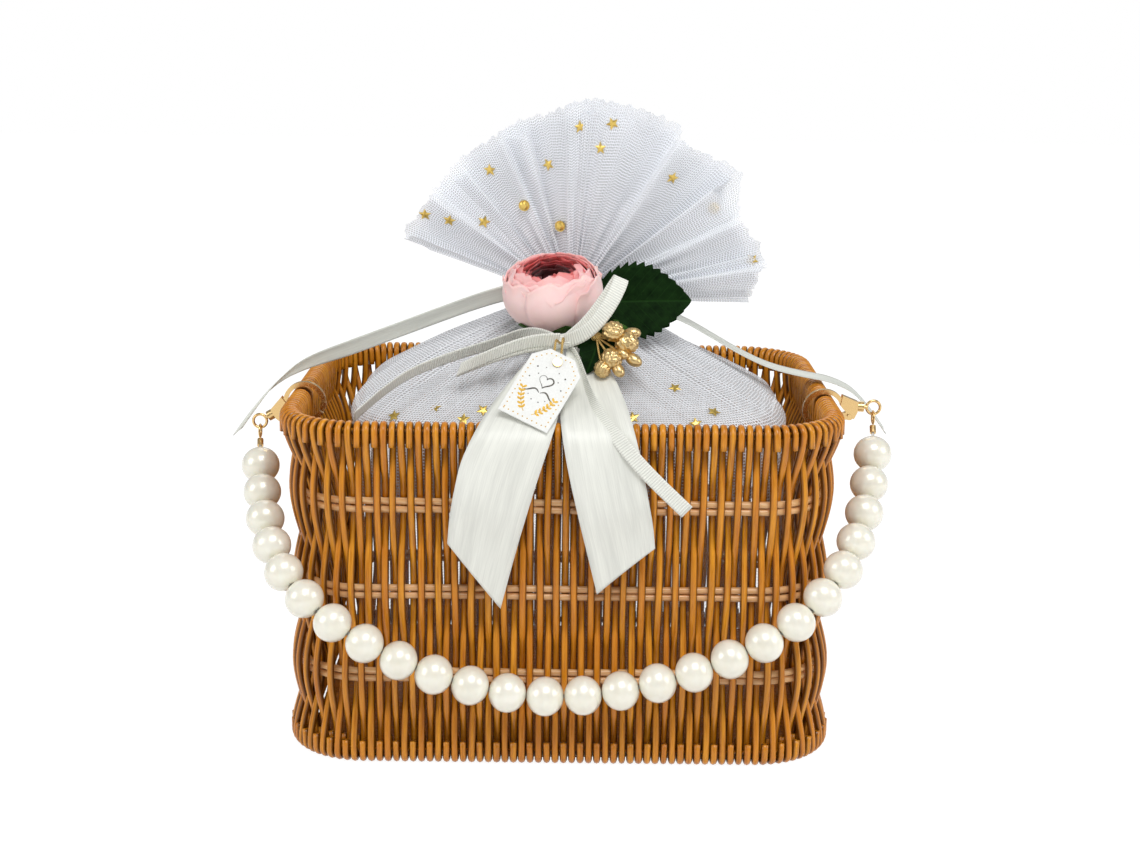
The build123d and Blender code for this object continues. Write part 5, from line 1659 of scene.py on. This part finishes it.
# %% Stage and lights
floor_mesh = bpy.data.meshes.new("floor")
floor_mesh.from_pydata([(-3, -3, 0), (3, -3, 0), (3, 3, 0), (-3, 3, 0)], [], [(0, 1, 2, 3)])
floor = bpy.data.objects.new("floor", floor_mesh)
bpy.context.scene.collection.objects.link(floor)
floor_recipe = Recipe("white_floor", Roughness=0.9)
floor_recipe.shader.inputs["Base Color"].default_value = (0.92, 0.92, 0.92, 1)
glow = floor_recipe.node("ShaderNodeEmission", Strength=1.2)
glow.inputs["Color"].default_value = (1, 1, 1, 1)
ray = floor_recipe.node("ShaderNodeLightPath")
mirrored = floor_recipe.calc("MAXIMUM", ray.outputs["Is Glossy Ray"], ray.outputs["Is Transmission Ray"])
seen = floor_recipe.calc("MAXIMUM", ray.outputs["Is Camera Ray"], mirrored)
share = floor_recipe.calc("MULTIPLY", seen, 0.78)
mixed = floor_recipe.node("ShaderNodeMixShader")
floor_recipe.join(share, mixed.inputs[0])
floor_recipe.join(floor_recipe.shader.outputs[0], mixed.inputs[1])
floor_recipe.join(glow.outputs[0], mixed.inputs[2])
floor_recipe.join(mixed.outputs[0], floor_recipe.tree.nodes["Material Output"].inputs["Surface"])
floor_mesh.materials.append(floor_recipe.material)

world = bpy.data.worlds.new("studio")
bpy.context.scene.world = world
world.use_nodes = True
background = world.node_tree.nodes["Background"]
path_of = world.node_tree.nodes.new("ShaderNodeLightPath")
level = world.node_tree.nodes.new("ShaderNodeMix")
level.inputs[2].default_value = 0.36
level.inputs[3].default_value = 1.0
world.node_tree.links.new(path_of.outputs["Is Camera Ray"], level.inputs[0])
world.node_tree.links.new(level.outputs[0], background.inputs["Strength"])
background.inputs["Color"].default_value = (1, 1, 1, 1)


def soft_box(name, place, size, power):
    """A square area light turned to the middle of the basket."""
    lamp = bpy.data.lights.new(name, "AREA")
    lamp.size = size
    lamp.energy = power
    holder = bpy.data.objects.new(name, lamp)
    bpy.context.scene.collection.objects.link(holder)
    holder.location = place
    aim = Vector((0, 0, 0.1)) - Vector(place)
    holder.rotation_euler = aim.to_track_quat("-Z", "Y").to_euler()


soft_box("key", (0.15, -0.65, 1.0), 0.55, 6.4)
soft_box("left_fill", (-0.9, -0.45, 0.5), 0.5, 2.6)
soft_box("right_fill", (0.9, -0.35, 0.5), 0.5, 2.3)
soft_box("back_light", (0.0, 0.8, 0.8), 0.7, 2.0)

# %% Camera
camera_data = bpy.data.cameras.new("camera")
camera_data.lens = 56.84
camera_data.sensor_width = 36.0
camera = bpy.data.objects.new("camera", camera_data)
bpy.context.scene.collection.objects.link(camera)
pitch, roll = math.radians(13.386), math.radians(0.611)
right = Vector((math.cos(roll), math.sin(roll) * math.sin(pitch), math.sin(roll) * math.cos(pitch)))
upward = Vector((-math.sin(roll), math.cos(roll) * math.sin(pitch), math.cos(roll) * math.cos(pitch)))
backward = Vector((0, -math.cos(pitch), math.sin(pitch)))
tripod = Matrix.Translation((0.00296, -0.7009, 0.2780))
camera.matrix_world = tripod @ Matrix((right, upward, backward)).transposed().to_4x4()
bpy.context.scene.camera = camera
bpy.context.scene.view_settings.view_transform = "Standard"
